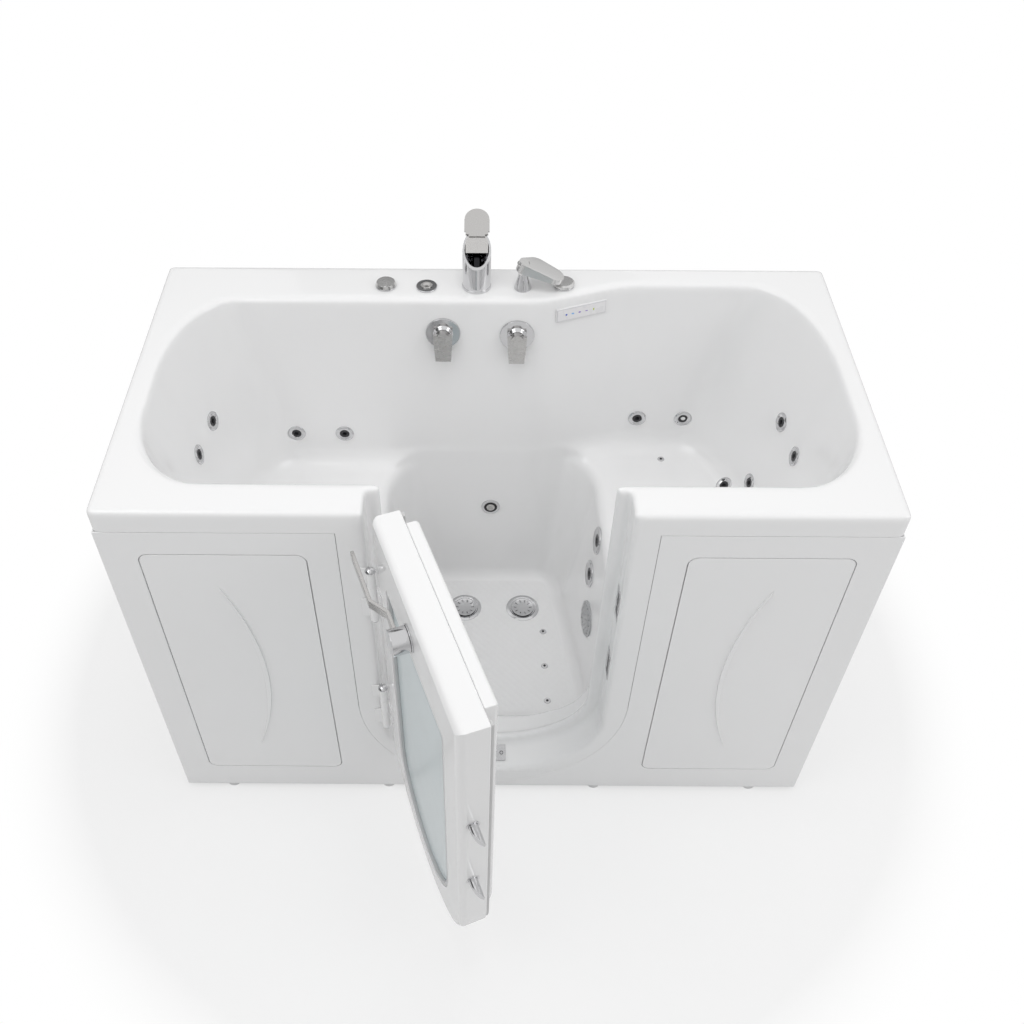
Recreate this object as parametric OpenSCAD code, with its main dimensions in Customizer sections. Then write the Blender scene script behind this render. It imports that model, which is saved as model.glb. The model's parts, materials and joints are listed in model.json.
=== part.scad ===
// Two-seat walk-in bathtub with an outward-swinging door, deck-mounted taps, jets and a levelling frame.
// Origin: floor level at the centre of the tub body's footprint. +X along the tub, +Y towards its back,
// +Z up. The door is drawn swung open by door_open degrees.

/* [Tub body] */
// Overall length of the tub
tub_l = 1524; // [1480:1:1620]
// Overall depth of the tub, door side to back
tub_d = 790; // [770:1:840]
// Height of the rim above the floor
rim_z = 1010; // [990:1:1060]
// Wall thickness of the tub shell
wall = 8; // [6:0.5:10]
// Height of the lip that hangs down from the rim
lip_h = 53; // [40:1:70]
// Height of the seats above the floor
seat_z = 520; // [490:1:540]
// Height of the leg well's floor above the floor
well_z = 90; // [84:1:96]

/* [Basin] */
// Width of the rim at the left end
rim_left = 49; // [42:1:60]
// Width of the rim at the right end
rim_right = 42; // [40:1:60]
// Depth of the rim along the door side
rim_front = 85; // [82:1:90]
// Depth of the back deck that carries the taps
deck_back = 132; // [126:1:140]
// Depth of the back deck at the right seat
deck_back_r = 68; // [64:1:80]
// Where the back deck starts to narrow
narrow_from = 70; // [40:1:90]
// Where the back deck is at its narrowest
narrow_to = 335; // [310:1:360]
// How far the end walls lean in between rim and seat
end_lean = 113; // [100:1:125]
// Radius where the walls run into the seats
seat_r = 54; // [46:1:64]
// Radius on the rim's inner edge
rim_r = 10; // [6:1:12]

/* [Leg well] */
// Half width of the well's floor at the door
well_w_front = 243; // [232:1:250]
// Half width of the well's floor at the back
well_w_back = 190; // [178:1:196]
// Half width of the well at seat height
well_w_seat = 272; // [266:1:278]
// Radius where the well's floor meets its walls
well_r = 35; // [24:1:40]
// Radius on the front edge of the seats
seat_edge_r = 25; // [16:1:30]

/* [Doorway] */
// Half width of the pocket that the door closes into
pocket_w = 250; // [248:1:256]
// Depth of the pocket
pocket_d = 64; // [62:1:68]
// Height of the pocket's lowest point above the floor
pocket_z = 90; // [88:1:94]
// Half width of the doorway behind the pocket
way_w = 222; // [216:1:226]
// Height of the doorway's sill
sill_z = 130; // [124:1:134]
// Depth of the doorway behind the pocket
way_d = 21; // [18:1:24]
// Half width of the surround
surround_w = 305; // [298:1:312]
// Height of the surround's lowest point
surround_z = 36; // [32:1:40]

/* [Door] */
// Angle at which the door is drawn open
door_open = 70; // [0:1:100]
// Clearance between the door and its pocket
door_gap = 6; // [5:0.5:7]
// Thickness of the door's outer part
door_t = 58; // [54:1:60]
// Half width of the door's inner part
liner_w = 210; // [200:1:212]
// Thickness of the door's inner part
liner_t = 25; // [20:1:27]
// Radius on the door's outer edges
door_r = 16; // [10:1:17]
// Distance of the hinge axis in front of the door's face
hinge_out = 10; // [10:0.5:12]
// Half width of the window
window_w = 158; // [140:1:164]
// Height of the window's top edge
window_top = 880; // [820:1:885]
// Height of the window's lowest point
window_low = 175; // [165:1:220]
// Thickness of the window glass
glass_t = 6; // [5:0.5:8]

/* [Latch] */
// Height of the lever's axis
lever_z = 937; // [928:1:945]
// Place of the lever's axis along the door, from its middle
lever_x = -12; // [-25:1:0]
// Diameter of the lever's hub
hub_d = 50; // [44:1:54]
// Reach of the lever's arm from its axis
arm_l = 220; // [180:1:222]
// Height of the upper bolt
bolt_hi = 702; // [660:1:720]
// Height of the lower bolt
bolt_lo = 482; // [460:1:520]
// Diameter of the latch bolts
bolt_d = 18.4; // [16:0.1:19]
// How far the bolts stand out of the door
bolt_throw = 42; // [38:1:44]

/* [Skirts and panels] */
// Thickness of the skirt sheets
skirt_t = 4; // [3:0.5:5]
// Height of the skirts above the floor
skirt_z = 12; // [8:1:20]
// Distance of the access panels' inner edge from the middle
panel_x0 = 368; // [360:1:380]
// Distance of the access panels' outer edge from the tub's end
panel_inset = 72; // [62:1:82]
// Height of the access panels' lower edge
panel_z0 = 100; // [90:1:120]
// Height of the access panels' upper edge
panel_z1 = 892; // [860:1:900]
// Corner radius of the access panels
panel_r = 20; // [12:1:30]
// Gap around the access panels
panel_gap = 2; // [1:0.5:3]

/* [Frame and feet] */
// Side of the square frame bars
bar = 30; // [25:1:34]
// Diameter of the feet
foot_d = 34; // [28:1:36]
// Diameter of the feet's studs
stud_d = 12; // [10:1:14]

/* [Taps and drains] */
// Diameter of the tap's column
tap_d = 64; // [58:1:68]
// Diameter of the deck knobs
knob_d = 48; // [42:1:50]
// Diameter of the drain flanges
drain_d = 90; // [80:1:94]
// Diameter of the drain handles' plates
plate_d = 80; // [70:1:84]
// How far a drain cover lifts
cover_lift = 8; // [6:1:10]
// Diameter of the waste pipe
waste_d = 40; // [32:1:44]
// Diameter of the water inlets
inlet_d = 21; // [20:0.5:22]

/* [Jets] */
// Diameter of the seat jets
jet_d = 45; // [38:1:48]
// Diameter of the leg jets
leg_jet_d = 70; // [60:1:72]
// Diameter of the air jets
air_jet_d = 20; // [16:1:24]
// Diameter of the suction covers
suction_d = 92; // [86:1:104]

/* [Hidden] */
$fn = 48;

fit = 0.2;                       // clearance where a piece sits on a leaning wall
front_y = -tub_d / 2;            // plane of the lip, surround, skirt and closed door
back_y = tub_d / 2;
end_x = tub_l / 2;
panel_x1 = end_x - panel_inset;
deck_z = rim_z - wall;           // underside of the rim
seam = 1.5;                      // gap between lip and skirt
rim_corner_r = 12;               // radius of the rim's corners seen from above

// ---- shapes that repeat ----
function mix(a, b, t) = a + (b - a) * t;
function smooth(t) = t * t * (3 - 2 * t);
function clamp(t) = min(1, max(0, t));
function arc(cx, cy, rx, ry, a0, a1, n) =
    [for (i = [0:n]) let (a = mix(a0, a1, i / n)) [cx + rx * cos(a), cy + ry * sin(a)]];
function lift(ring, z) = [for (p = ring) [p[0], p[1], z]];

// closed solid through rings of equal count, stacked upwards, each counter-clockwise from above
module loft(rings) {
    n = len(rings[0]);
    m = len(rings);
    sides = [for (j = [0:m - 2], i = [0:n - 1])
        let (a = j * n + i, b = j * n + (i + 1) % n)
        each [[a, a + n, b + n], [a, b + n, b]]];
    polyhedron(
        points = [for (ring = rings) each ring],
        faces = concat([[for (i = [0:n - 1]) i]], sides, [[for (i = [n - 1:-1:0]) (m - 1) * n + i]]),
        convexity = 6);
}

// upright U: straight sides to top, half ellipse below the height mid
function u_ring(w, top, mid, low, n = 28) =
    concat([[-w, top]], arc(0, mid, w, mid - low, 180, 360, n), [[w, top]]);

// plate of that outline between two depths
module u_plate(w, top, mid, low, y0, y1)
    translate([0, y1, 0]) rotate([90, 0, 0]) linear_extrude(y1 - y0) polygon(u_ring(w, top, mid, low));

module box(a, b) translate(a) cube(b - a);

// tube or pipe run through points, with ball elbows
module run(points, d) {
    for (i = [0:len(points) - 2]) {
        v = points[i + 1] - points[i];
        translate(points[i]) rotate([0, acos(v[2] / norm(v)), atan2(v[1], v[0])])
            cylinder(h = norm(v), d = d);
    }
    for (i = [1:1:len(points) - 2]) translate(points[i]) sphere(d = d);
}

module both() {
    children();
    mirror([1, 0, 0]) children();
}

// ---- basin ----
basin_l = -(end_x - rim_left);
basin_r = end_x - rim_right;
basin_f = front_y + rim_front;
basin_b = back_y - deck_back;
basin_br = back_y - deck_back_r;
wall_lean = 16;                  // lean of the back wall between rim and seat
corner_l = [134, 250];           // corner radii along X and Y, back left
corner_r = [151, 298];           // back right
corner_f = [146, 206];           // both front corners

function lean(z) = (rim_z - z) / (rim_z - seat_z);
function fillet(z) = let (h = seat_z + seat_r - z) h > 0 ? seat_r - sqrt(max(0, seat_r * seat_r - h * h)) : 0;
function back_wall(x, z) = mix(basin_b, basin_br, smooth(clamp((x - narrow_from) / (narrow_to - narrow_from))))
    - wall_lean * lean(z);
function end_wall(side, y, z) = let (
    c = side < 0 ? corner_l : corner_r,
    cy = (side < 0 ? basin_b : basin_br) - wall_lean * lean(z) - c[1],
    reach = (side < 0 ? -basin_l : basin_r) - end_lean * lean(z) - fillet(z),
    t = clamp((y - cy) / c[1]))
    reach - c[0] * (1 - sqrt(1 - t * t));

// outline of the upper basin at one height, grown outwards by out
function basin_ring(z, out, lean_z) = let (
    u = lean(lean_z),
    l = basin_l + end_lean * u - out,
    r = basin_r - end_lean * u + out,
    f = basin_f - out,
    b = basin_b - wall_lean * u + out,
    br = basin_br - wall_lean * u + out,
    k = max(out, -40),
    span = narrow_to - narrow_from)
    lift(concat(
        arc(r - corner_r[0] - k, br - corner_r[1] - k, corner_r[0] + k, corner_r[1] + k, 0, 90, 8),
        [for (i = [9:-1:0]) [narrow_from + span * i / 9, mix(b, br, smooth(i / 9))]],
        arc(l + corner_l[0] + k, b - corner_l[1] - k, corner_l[0] + k, corner_l[1] + k, 90, 180, 8),
        arc(l + corner_f[0] + k, f + corner_f[1] + k, corner_f[0] + k, corner_f[1] + k, 180, 270, 7),
        arc(r - corner_f[0] - k, f + corner_f[1] + k, corner_f[0] + k, corner_f[1] + k, 270, 360, 7)), z);

// upper basin as a solid; skin grows it by the wall thickness
module basin(skin) {
    steps = 5;
    r = seat_r + skin;
    mid = seat_z + seat_r;
    bowl = [for (i = [steps:-1:0]) let (a = 90 * i / steps)
        basin_ring(mid - r * sin(a), skin - r * (1 - cos(a)), mid - seat_r * sin(a))];
    top = skin > 0
        ? [basin_ring(deck_z + wall / 2, skin, deck_z)]
        : concat([for (a = [0:30:90])
            basin_ring(rim_z - rim_r * (1 - sin(a)), rim_r * (1 - cos(a)), rim_z - rim_r)],
            [basin_ring(rim_z + 5, rim_r, rim_z)]);
    loft(concat(bowl, top));
}

// ---- leg well ----
well_front = basin_f + 54;       // front edge of the well's floor
well_back = 225;                 // back edge of the well's floor
well_front_top = basin_f + 5;

function rise(z) = (z - well_z) / (seat_z - well_z);
// corner radii along X and Y at the well's back, right and left
function well_corner(side, t) = side > 0 ? [mix(60, 100, t), mix(110, 150, t)] : [mix(60, 80, t), mix(110, 110, t)];
function well_front_y(t) = mix(well_front, well_front_top, t);
function well_back_y(x, t) = mix(well_back, back_wall(x, seat_z), t);
function well_back_wall(z) = well_back_y(0, rise(z));
function well_w1(t) = mix(well_w_back, well_w_seat - 8, t);
function well_side(side, y, z) = let (
    t = rise(z),
    y0 = well_front_y(t) + 60,
    y1 = well_back - well_corner(side, t)[1] + 10,
    w0 = mix(well_w_front, well_w_seat, t))
    mix(w0, well_w1(t), clamp((y - y0) / (y1 - y0)));

// outline of the well at one height: out grows it all round, wide grows it along X only
function well_ring(z, out, at_z, wide = 0) = let (
    t = min(1, rise(at_z)),
    up = max(0, at_z - seat_z),
    g = out + wide,
    cr = well_corner(1, t),
    cl = well_corner(-1, t),
    w0 = mix(well_w_front, well_w_seat, t) + g,
    w1 = well_w1(t),
    f = well_front_y(t) - out,
    rf = mix(60, 45, t) + out,
    lean_back = up > 0 ? wall_lean * up / (rim_z - seat_z) - 0.6 : 0,
    k = (well_w_seat - 8 - 100))
    lift(concat(
        [for (i = [0:7]) let (a = 90 * i / 7, x = w1 - cr[0] + (cr[0] + g) * cos(a))
            [x, well_back_y(x, t) - cr[1] + (cr[1] + out) * sin(a) + lean_back]],
        [for (i = [3:-1:0]) let (x = (narrow_from + (narrow_to - narrow_from) * i / 9) * (w1 - cr[0]) / k)
            [x, well_back_y(x, t) + out + lean_back]],
        [for (i = [0:7]) let (a = 90 + 90 * i / 7, x = -w1 + cl[0] + (cl[0] + g) * cos(a))
            [x, well_back_y(x, t) - cl[1] + (cl[1] + out) * sin(a) + lean_back]],
        arc(-w0 + rf + wide, f + rf, rf + wide, rf, 180, 270, 6),
        arc(w0 - rf - wide, f + rf, rf + wide, rf, 270, 360, 6)), z);

module well(skin) {
    steps = 4;
    r = well_r + skin;
    mid = well_z + well_r;
    bowl = [for (i = [steps:-1:0]) let (a = 90 * i / steps)
        well_ring(mid - r * sin(a), skin - r * (1 - cos(a)), mid - well_r * sin(a))];
    edge = seat_z - seat_edge_r;
    sides = [for (i = [1:skin > 0 ? 4 : 3]) let (z = mix(mid, edge, i / 4)) well_ring(z, skin, z)];
    top = skin > 0
        ? [for (z = [seat_z, seat_z + seat_r + 3]) well_ring(z, skin, z, seat_edge_r)]
        : concat([for (a = [0:22.5:90]) well_ring(edge + seat_edge_r * sin(a), 0,
            edge + seat_edge_r * sin(a), seat_edge_r * (1 - cos(a)))],
            [well_ring(seat_z + seat_r + 3, 0, seat_z + seat_r + 3, seat_edge_r)]);
    loft(concat(bowl, sides, top));
}

// ---- doorway ----
u_mid = 305;                     // height at which the doorway's sides start to curve
surround_mid = 370;
pocket_y = front_y + pocket_d;   // back of the pocket
way_y = pocket_y + way_d;        // inner face of the front wall
pocket_rise = 20;                // how much the pocket's floor rises towards the tub

// solid with a U outline whose low point rises with depth; edge radii r0 at the front, r1 at the back
module u_loft(w, top, low, slope, y0, y1, r0, r1) {
    function cut(r, a) = r * (1 - cos(a));
    front = r0 > 0 ? [for (a = [90:-22.5:0]) [y0 + r0 * (1 - sin(a)), cut(r0, a)]] : [[y0, 0]];
    rear = r1 > 0 ? [for (a = [0:22.5:90]) [y1 - r1 * (1 - sin(a)), cut(r1, a)]] : [[y1, 0]];
    // turned so that rings stack along the depth
    rotate([90, 0, 0]) loft([for (s = [for (i = [len(rear) - 1:-1:0]) rear[i],
            for (i = [len(front) - 1:-1:0]) front[i]])
        lift(u_ring(w - s[1], top - s[1], u_mid, low + s[1] + slope * (s[0] - front_y)), -s[0])]);
}

// doorway through the front wall, flared where it opens into the bath
way_flare = 14;
module way_space() {
    flare = [for (a = [0:22.5:90]) [way_y - way_flare * (1 - sin(a)), way_flare * (1 - cos(a))]];
    steps = concat([[front_y - 1, 0]], flare, [[basin_f + 80, way_flare]]);
    rotate([90, 0, 0]) loft([for (i = [len(steps) - 1:-1:0]) let (s = steps[i])
        lift(u_ring(way_w + s[1], rim_z + 10, u_mid, sill_z - s[1]), -s[0])]);
}
module pocket_space()
    u_loft(pocket_w, rim_z + 10, pocket_z, pocket_rise / pocket_d, front_y - 1, pocket_y, 0, 0);

// ---- places on the walls: local +Z points into the bath ----
module on_back(x, z) {
    n = [back_wall(x + 1, z) - back_wall(x - 1, z), -2, back_wall(x, z + 1) - back_wall(x, z - 1)];
    translate([x, back_wall(x, z), z]) face_along(n) children();
}
module on_end(side, y, z) {
    gy = end_wall(side, y + 1, z) - end_wall(side, y - 1, z);
    gz = end_wall(side, y, z + 1) - end_wall(side, y, z - 1);
    translate([side * end_wall(side, y, z), y, z]) face_along([-side * 2, gy, gz]) children();
}
module on_well(side, y, z) {
    gy = well_side(side, y + 1, z) - well_side(side, y - 1, z);
    gz = well_side(side, y, z + 1) - well_side(side, y, z - 1);
    translate([side * well_side(side, y, z), y, z]) face_along([-side * 2, gy, gz]) children();
}
module on_well_back(x, z) {
    gz = well_back_wall(z + 1) - well_back_wall(z - 1);
    translate([x, well_back_wall(z), z]) face_along([0, -2, gz]) children();
}
module face_along(n) rotate([0, acos(n[2] / norm(n)), atan2(n[1], n[0])]) children();

back_jets = [[-495, 614], [-374, 614], [367, 614], [484, 614]];
end_jets = [[-1, 105, 785], [-1, -6, 785], [1, 113, 785], [1, 0, 785], [1, 99, 600], [1, 152, 536]];
leg_jets = [[25, 468], [2, 368]];
suction_at = [-71, 278];
floor_jets = [[142, front_y + 422], [142, front_y + 309], [145, front_y + 200]];
seat_jets = [[-437, back_y - 175], [434, back_y - 133]];
overflow_at = [-4, 362];
module each_seat_jet() {
    for (p = back_jets) on_back(p[0], p[1]) children();
    for (p = end_jets) on_end(p[0], p[1], p[2]) children();
}
module each_leg_jet() for (side = [-1, 1], p = leg_jets) on_well(side, p[0], p[1]) children();
module each_suction() for (side = [-1, 1]) on_well(side, suction_at[0], suction_at[1]) children();
module each_air_jet() {
    for (side = [-1, 1], p = floor_jets) translate([side * p[0], p[1], well_z]) children();
    for (p = seat_jets) translate([p[0], p[1], seat_z]) children();
}

seat_depth = 1.5;                // depth of the flat seat under each fitting on a wall
module fitting_hole(flange_d, body_d) {
    translate([0, 0, -seat_depth]) cylinder(h = 30, d = flange_d + 1);
    translate([0, 0, -40]) cylinder(h = 60, d = body_d + 1);
}

// ---- taps ----
tap_at = [-44, back_y - 75];
air_knob_at = [-251, back_y - 77];
push_at = [-158, back_y - 80];
holder_at = [61, back_y - 81];
diverter_at = [155, back_y - 72];
handle_at = [[-121, rim_z - 88], [50, rim_z - 93]];
drain_at = [[-72, back_y - 287], [88, back_y - 287]];
keypad_at = [197, rim_z - 47];
keypad_size = [125, 35, 3];
module each_deck_knob() for (p = [air_knob_at, push_at, diverter_at]) translate([p[0], p[1], rim_z]) children();

strike_x = pocket_w;
strike_y = front_y + 13;
strike_size = [2.5, 38.5, 80];
strikes = [[bolt_hi, bolt_hi - 30], [bolt_lo, bolt_lo - 22]];
slot_y = [front_y + 16, front_y + 39];

module tub_shell() color([0.96, 0.96, 0.95]) difference() {
    union() {
        basin(wall);
        well(wall);
        // rim and lip
        difference() {
            translate([-end_x, front_y, rim_z - lip_h]) linear_extrude(lip_h) rounded(tub_l, tub_d, rim_corner_r);
            box([-end_x + wall, front_y + wall, rim_z - lip_h - 1], [end_x - wall, back_y - wall, deck_z]);
        }
        // surround, flush with the lip
        u_plate(surround_w, rim_z, surround_mid, surround_z, front_y, front_y + wall);
        // pocket walls and the frame of the doorway behind them
        u_plate(pocket_w + wall, rim_z, u_mid, pocket_z - wall, front_y, way_y);
        u_plate(way_w + way_flare + wall, rim_z, u_mid, sill_z - way_flare - wall, pocket_y, well_front + 4);
    }
    basin(0);
    well(0);
    pocket_space();
    way_space();
    each_seat_jet() fitting_hole(jet_d, 26);
    each_leg_jet() fitting_hole(leg_jet_d, 34);
    each_suction() fitting_hole(suction_d, 60);
    each_air_jet() fitting_hole(air_jet_d, 10);
    on_well_back(overflow_at[0], overflow_at[1]) fitting_hole(49, 32);
    for (p = handle_at) on_back(p[0], p[1]) fitting_hole(plate_d, 26);
    for (p = drain_at) translate([p[0], p[1], well_z]) fitting_hole(drain_d, 62);
    for (p = [tap_at, holder_at, air_knob_at, push_at, diverter_at])
        translate([p[0], p[1], deck_z - 1]) cylinder(h = 20, d = p == holder_at ? 25 : 31);
    on_back(keypad_at[0], keypad_at[1]) rotate([0, 0, 90]) keypad_block(0.5, 3);
    for (s = strikes) {
        box([strike_x - 1, strike_y - fit, s[1] - fit],
            [strike_x + strike_size[0], strike_y + strike_size[1] + fit, s[1] + strike_size[2] + fit]);
        box([strike_x, slot_y[0] - 1, s[1] + 7], [strike_x + 60, slot_y[1] + 1, s[1] + strike_size[2] - 7]);
    }
}

module keypad_block(grow, front)
    translate([-keypad_size[0] / 2 - grow, -keypad_size[1] / 2 - grow, -2])
        cube([keypad_size[0] + 2 * grow, keypad_size[1] + 2 * grow, keypad_size[2] + front]);

// ---- skirts ----
skirt_top = rim_z - lip_h - seam;
tuck_z = rim_z - lip_h + 13;     // top of the tab that stands behind the lip
tab_x = [345, 712];              // the tab lies between the frame's uprights
module panel_shape(grow, depth0, depth1)
    translate([0, depth1, 0]) rotate([90, 0, 0]) linear_extrude(depth1 - depth0)
        translate([panel_x0 - grow, panel_z0 - grow]) rounded(
            panel_x1 - panel_x0 + 2 * grow, panel_z1 - panel_z0 + 2 * grow, panel_r + grow);
module rounded(w, h, r) {
    translate([r, 0]) square([w - 2 * r, h]);
    translate([0, r]) square([w, h - 2 * r]);
    for (x = [r, w - r], y = [r, h - r]) translate([x, y]) circle(r);
}

ledge = 12;                      // how far the ledge reaches behind a panel's edge
ledge_y = front_y + skirt_t + 2; // front face of the ledge; the catches fill the gap
module front_skirt() color([0.95, 0.95, 0.94]) difference() {
    union() {
        box([-end_x, front_y, skirt_z], [end_x, front_y + skirt_t, skirt_top]);
        // tab behind the lip
        both() {
            box([tab_x[0], front_y + skirt_t, skirt_top - 6], [tab_x[1], front_y + wall + skirt_t, skirt_top]);
            box([tab_x[0], front_y + wall, skirt_top - 6], [tab_x[1], front_y + wall + skirt_t, tuck_z]);
        }
        both() panel_shape(14, front_y + skirt_t, ledge_y + 3);
    }
    u_plate(surround_w + 1, rim_z + 10, surround_mid, surround_z - 1, front_y - 1, front_y + 40);
    both() panel_shape(panel_gap, front_y - 1, ledge_y);
    both() panel_shape(-ledge, front_y - 1, front_y + 40);
}

module end_skirt(side) color([0.95, 0.95, 0.94]) mirror([side < 0 ? 1 : 0, 0, 0]) {
    box([end_x - skirt_t, front_y + skirt_t, skirt_z], [end_x, back_y, skirt_top]);
    box([end_x - wall - skirt_t, -frame_y, skirt_top - 6], [end_x - skirt_t, frame_y, skirt_top]);
    box([end_x - wall - skirt_t, -frame_y, skirt_top - 6], [end_x - wall, frame_y, tuck_z]);
}
module left_end_skirt() end_skirt(-1);
module right_end_skirt() end_skirt(1);

// access panel with a raised crescent rib
rib_h = 4;
rib_w = 11;                      // width of the rib at its middle
rib_at = [493, 503];             // its middle
rib_half = 288;                  // half its height
rib_sag = 55;
rib_r = (rib_half * rib_half + rib_sag * rib_sag) / (2 * rib_sag);
rib_r2 = (rib_half * rib_half + (rib_sag - rib_w) * (rib_sag - rib_w)) / (2 * (rib_sag - rib_w));
module access_panel() color([0.95, 0.95, 0.94]) {
    panel_shape(0, front_y, front_y + skirt_t);
    translate([rib_at[0], front_y, rib_at[1]]) rotate([90, 0, 0]) intersection() {
            difference() {
                translate([rib_r, 0, 0]) cylinder(h = rib_h, r = rib_r, $fn = 240);
                translate([rib_w + rib_r2, 0, -1]) cylinder(h = rib_h + 2, r = rib_r2, $fn = 240);
            }
            translate([-10, -300, -1]) cube([120, 600, rib_h + 2]);
        }
}
module right_access_panel() access_panel();
module left_access_panel() mirror([1, 0, 0]) access_panel();

module panel_catches() color([0.35, 0.36, 0.38]) both()
    for (x = [panel_x0, panel_x1], z = [mix(panel_z0, panel_z1, 0.12), mix(panel_z0, panel_z1, 0.88)])
        translate([x + (x == panel_x0 ? 1 : -1) * ledge / 2, front_y + skirt_t, z]) rotate([-90, 0, 0])
            cylinder(h = 2, d = 9);

// ---- frame ----
frame_x = end_x - wall - 4;
frame_y = tub_d / 2 - wall - 1;
base_top = well_z - wall;
seat_top = seat_z - wall;
base_z = base_top - bar;
inner_bar = 325;                 // distance of the inner uprights from the middle
mid_bar = 175;                   // distance of the bars under the well from the middle
seat_bars_y = [-190, 88];        // front faces of the bars under the seats

module bar_x(x0, x1, y, z) box([x0, y, z], [x1, y + bar, z + bar]);
module bar_y(x, y0, y1, z) box([x - bar / 2, y0, z], [x + bar / 2, y1, z + bar]);

module long_frame_bars() color([0.62, 0.64, 0.66]) {
    for (y = [-frame_y, frame_y - bar]) bar_x(-frame_x, frame_x, y, base_z);
    bar_x(-inner_bar + bar / 2, inner_bar - bar / 2, frame_y - bar, deck_z - bar);
    both() for (y = [-frame_y, frame_y - bar])
        bar_x(inner_bar + bar / 2, frame_x - bar, y, deck_z - bar);
    both() for (y = seat_bars_y) bar_x(inner_bar + bar / 2, frame_x - bar, y, seat_top - bar);
}
module cross_frame_bars() color([0.62, 0.64, 0.66]) both() {
    for (x = [mid_bar, inner_bar, frame_x - bar / 2]) bar_y(x, -frame_y + bar, frame_y - bar, base_z);
    for (x = [inner_bar, frame_x - bar / 2]) bar_y(x, -frame_y + bar, frame_y - bar, seat_top - bar);
}
module frame_uprights() color([0.62, 0.64, 0.66]) both()
    for (x = [inner_bar - bar / 2, frame_x - bar], y = [-frame_y, frame_y - bar])
        box([x, y, base_top], [x + bar, y + bar, deck_z]);

feet_x = [-650, -258, 258, 650];
foot_t = 8;
foot_y = tub_d / 2 - foot_d / 2; // the pads end flush with the front
nut_t = 10;
stud_clear = 0.2;
module each_foot() for (x = feet_x, y = [-foot_y, foot_y]) translate([x, y, 0]) children();
module levelling_feet() color([0.25, 0.25, 0.27]) each_foot() {
    cylinder(h = foot_t, d1 = foot_d, d2 = foot_d - 4);
    cylinder(h = base_z, d = stud_d);
}
module foot_lock_nuts() color([0.7, 0.7, 0.72]) each_foot() translate([0, 0, base_z - nut_t])
    difference() {
        cylinder(h = nut_t, d = stud_d * 1.8, $fn = 6);
        translate([0, 0, -1]) cylinder(h = nut_t + 2, d = stud_d + 2 * stud_clear);
    }

board_t = 12;
module equipment_boards() color([0.75, 0.66, 0.5]) both()
    box([inner_bar - bar / 2, -170, base_top], [frame_x, 250, base_top + board_t]);

// ---- door, drawn closed and swung about its hinge ----
door_w = pocket_w - door_gap;
door_low = pocket_z + door_gap;
hinge = [-door_w - 1, front_y - hinge_out, 0];
module swung() translate(hinge) rotate([0, 0, -door_open]) translate(-hinge) children();
door_slope = pocket_rise / pocket_d;
door_back = front_y + door_t;
liner_low = sill_z + 12;
bolt_y = front_y + 27;
bezel_w = 10;
cavity_y = [front_y + 6, front_y + 17];
slide_clear = 0.3;               // clearance of the bar that slides in the cavity

module window_plate(grow, y0, y1)
    u_plate(window_w + grow, window_top + grow, u_mid + 45, window_low - grow, y0, y1);

module door_panel() color([0.97, 0.97, 0.95]) swung() difference() {
    u_loft(door_w, rim_z, door_low, door_slope, front_y, door_back, door_r, 3);
    window_plate(0, front_y - 1, door_back + 1);
    window_plate(bezel_w, front_y - 1, front_y + 8 + glass_t);
    // room for the latch's drive plate
    box([lever_x - 26, cavity_y[0], lever_z - 34], [218, cavity_y[1], lever_z + 34]);
    box([192, cavity_y[0], bolt_lo - 24], [218, cavity_y[1], lever_z]);
    // bores for the spindle and the bolts
    translate([lever_x, front_y - 1, lever_z]) rotate([-90, 0, 0]) cylinder(h = 12, d = spindle_d + 0.6);
    for (z = [bolt_hi, bolt_lo]) translate([door_w - 71, bolt_y, z]) rotate([0, 90, 0]) {
        cylinder(h = 80, d = bolt_d + 0.6);
        translate([0, 0, 51]) cylinder(h = 29, d = guide_d + 0.2);
    }
    for (z = [bolt_hi, bolt_lo])
        box([196, cavity_y[1] - 1, z - 5], [212, bolt_y, z + 5]);
}
module door_liner() color([0.97, 0.97, 0.95]) swung() difference() {
    u_loft(liner_w, rim_z, liner_low, 0, door_back, door_back + liner_t, 0, 8);
    window_plate(0, door_back - 1, door_back + liner_t + 1);
}
module door_window() color([0.75, 0.87, 0.88, 0.6]) swung()
    window_plate(bezel_w - fit, front_y + 8, front_y + 8 + glass_t);
module window_bezel() color([0.88, 0.89, 0.89]) swung() difference() {
    window_plate(bezel_w - fit, front_y + 1, front_y + 8);
    window_plate(0, front_y, front_y + 9);
}
seal_w = [door_w - 15, door_w - 3];
module door_seal() color([0.85, 0.86, 0.86]) swung() difference() {
    u_plate(seal_w[1], rim_z - 3, u_mid, sill_z - 7, door_back, pocket_y - 0.5);
    u_plate(seal_w[0], rim_z, u_mid, sill_z + 5, door_back - 1, pocket_y);
}

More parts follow.
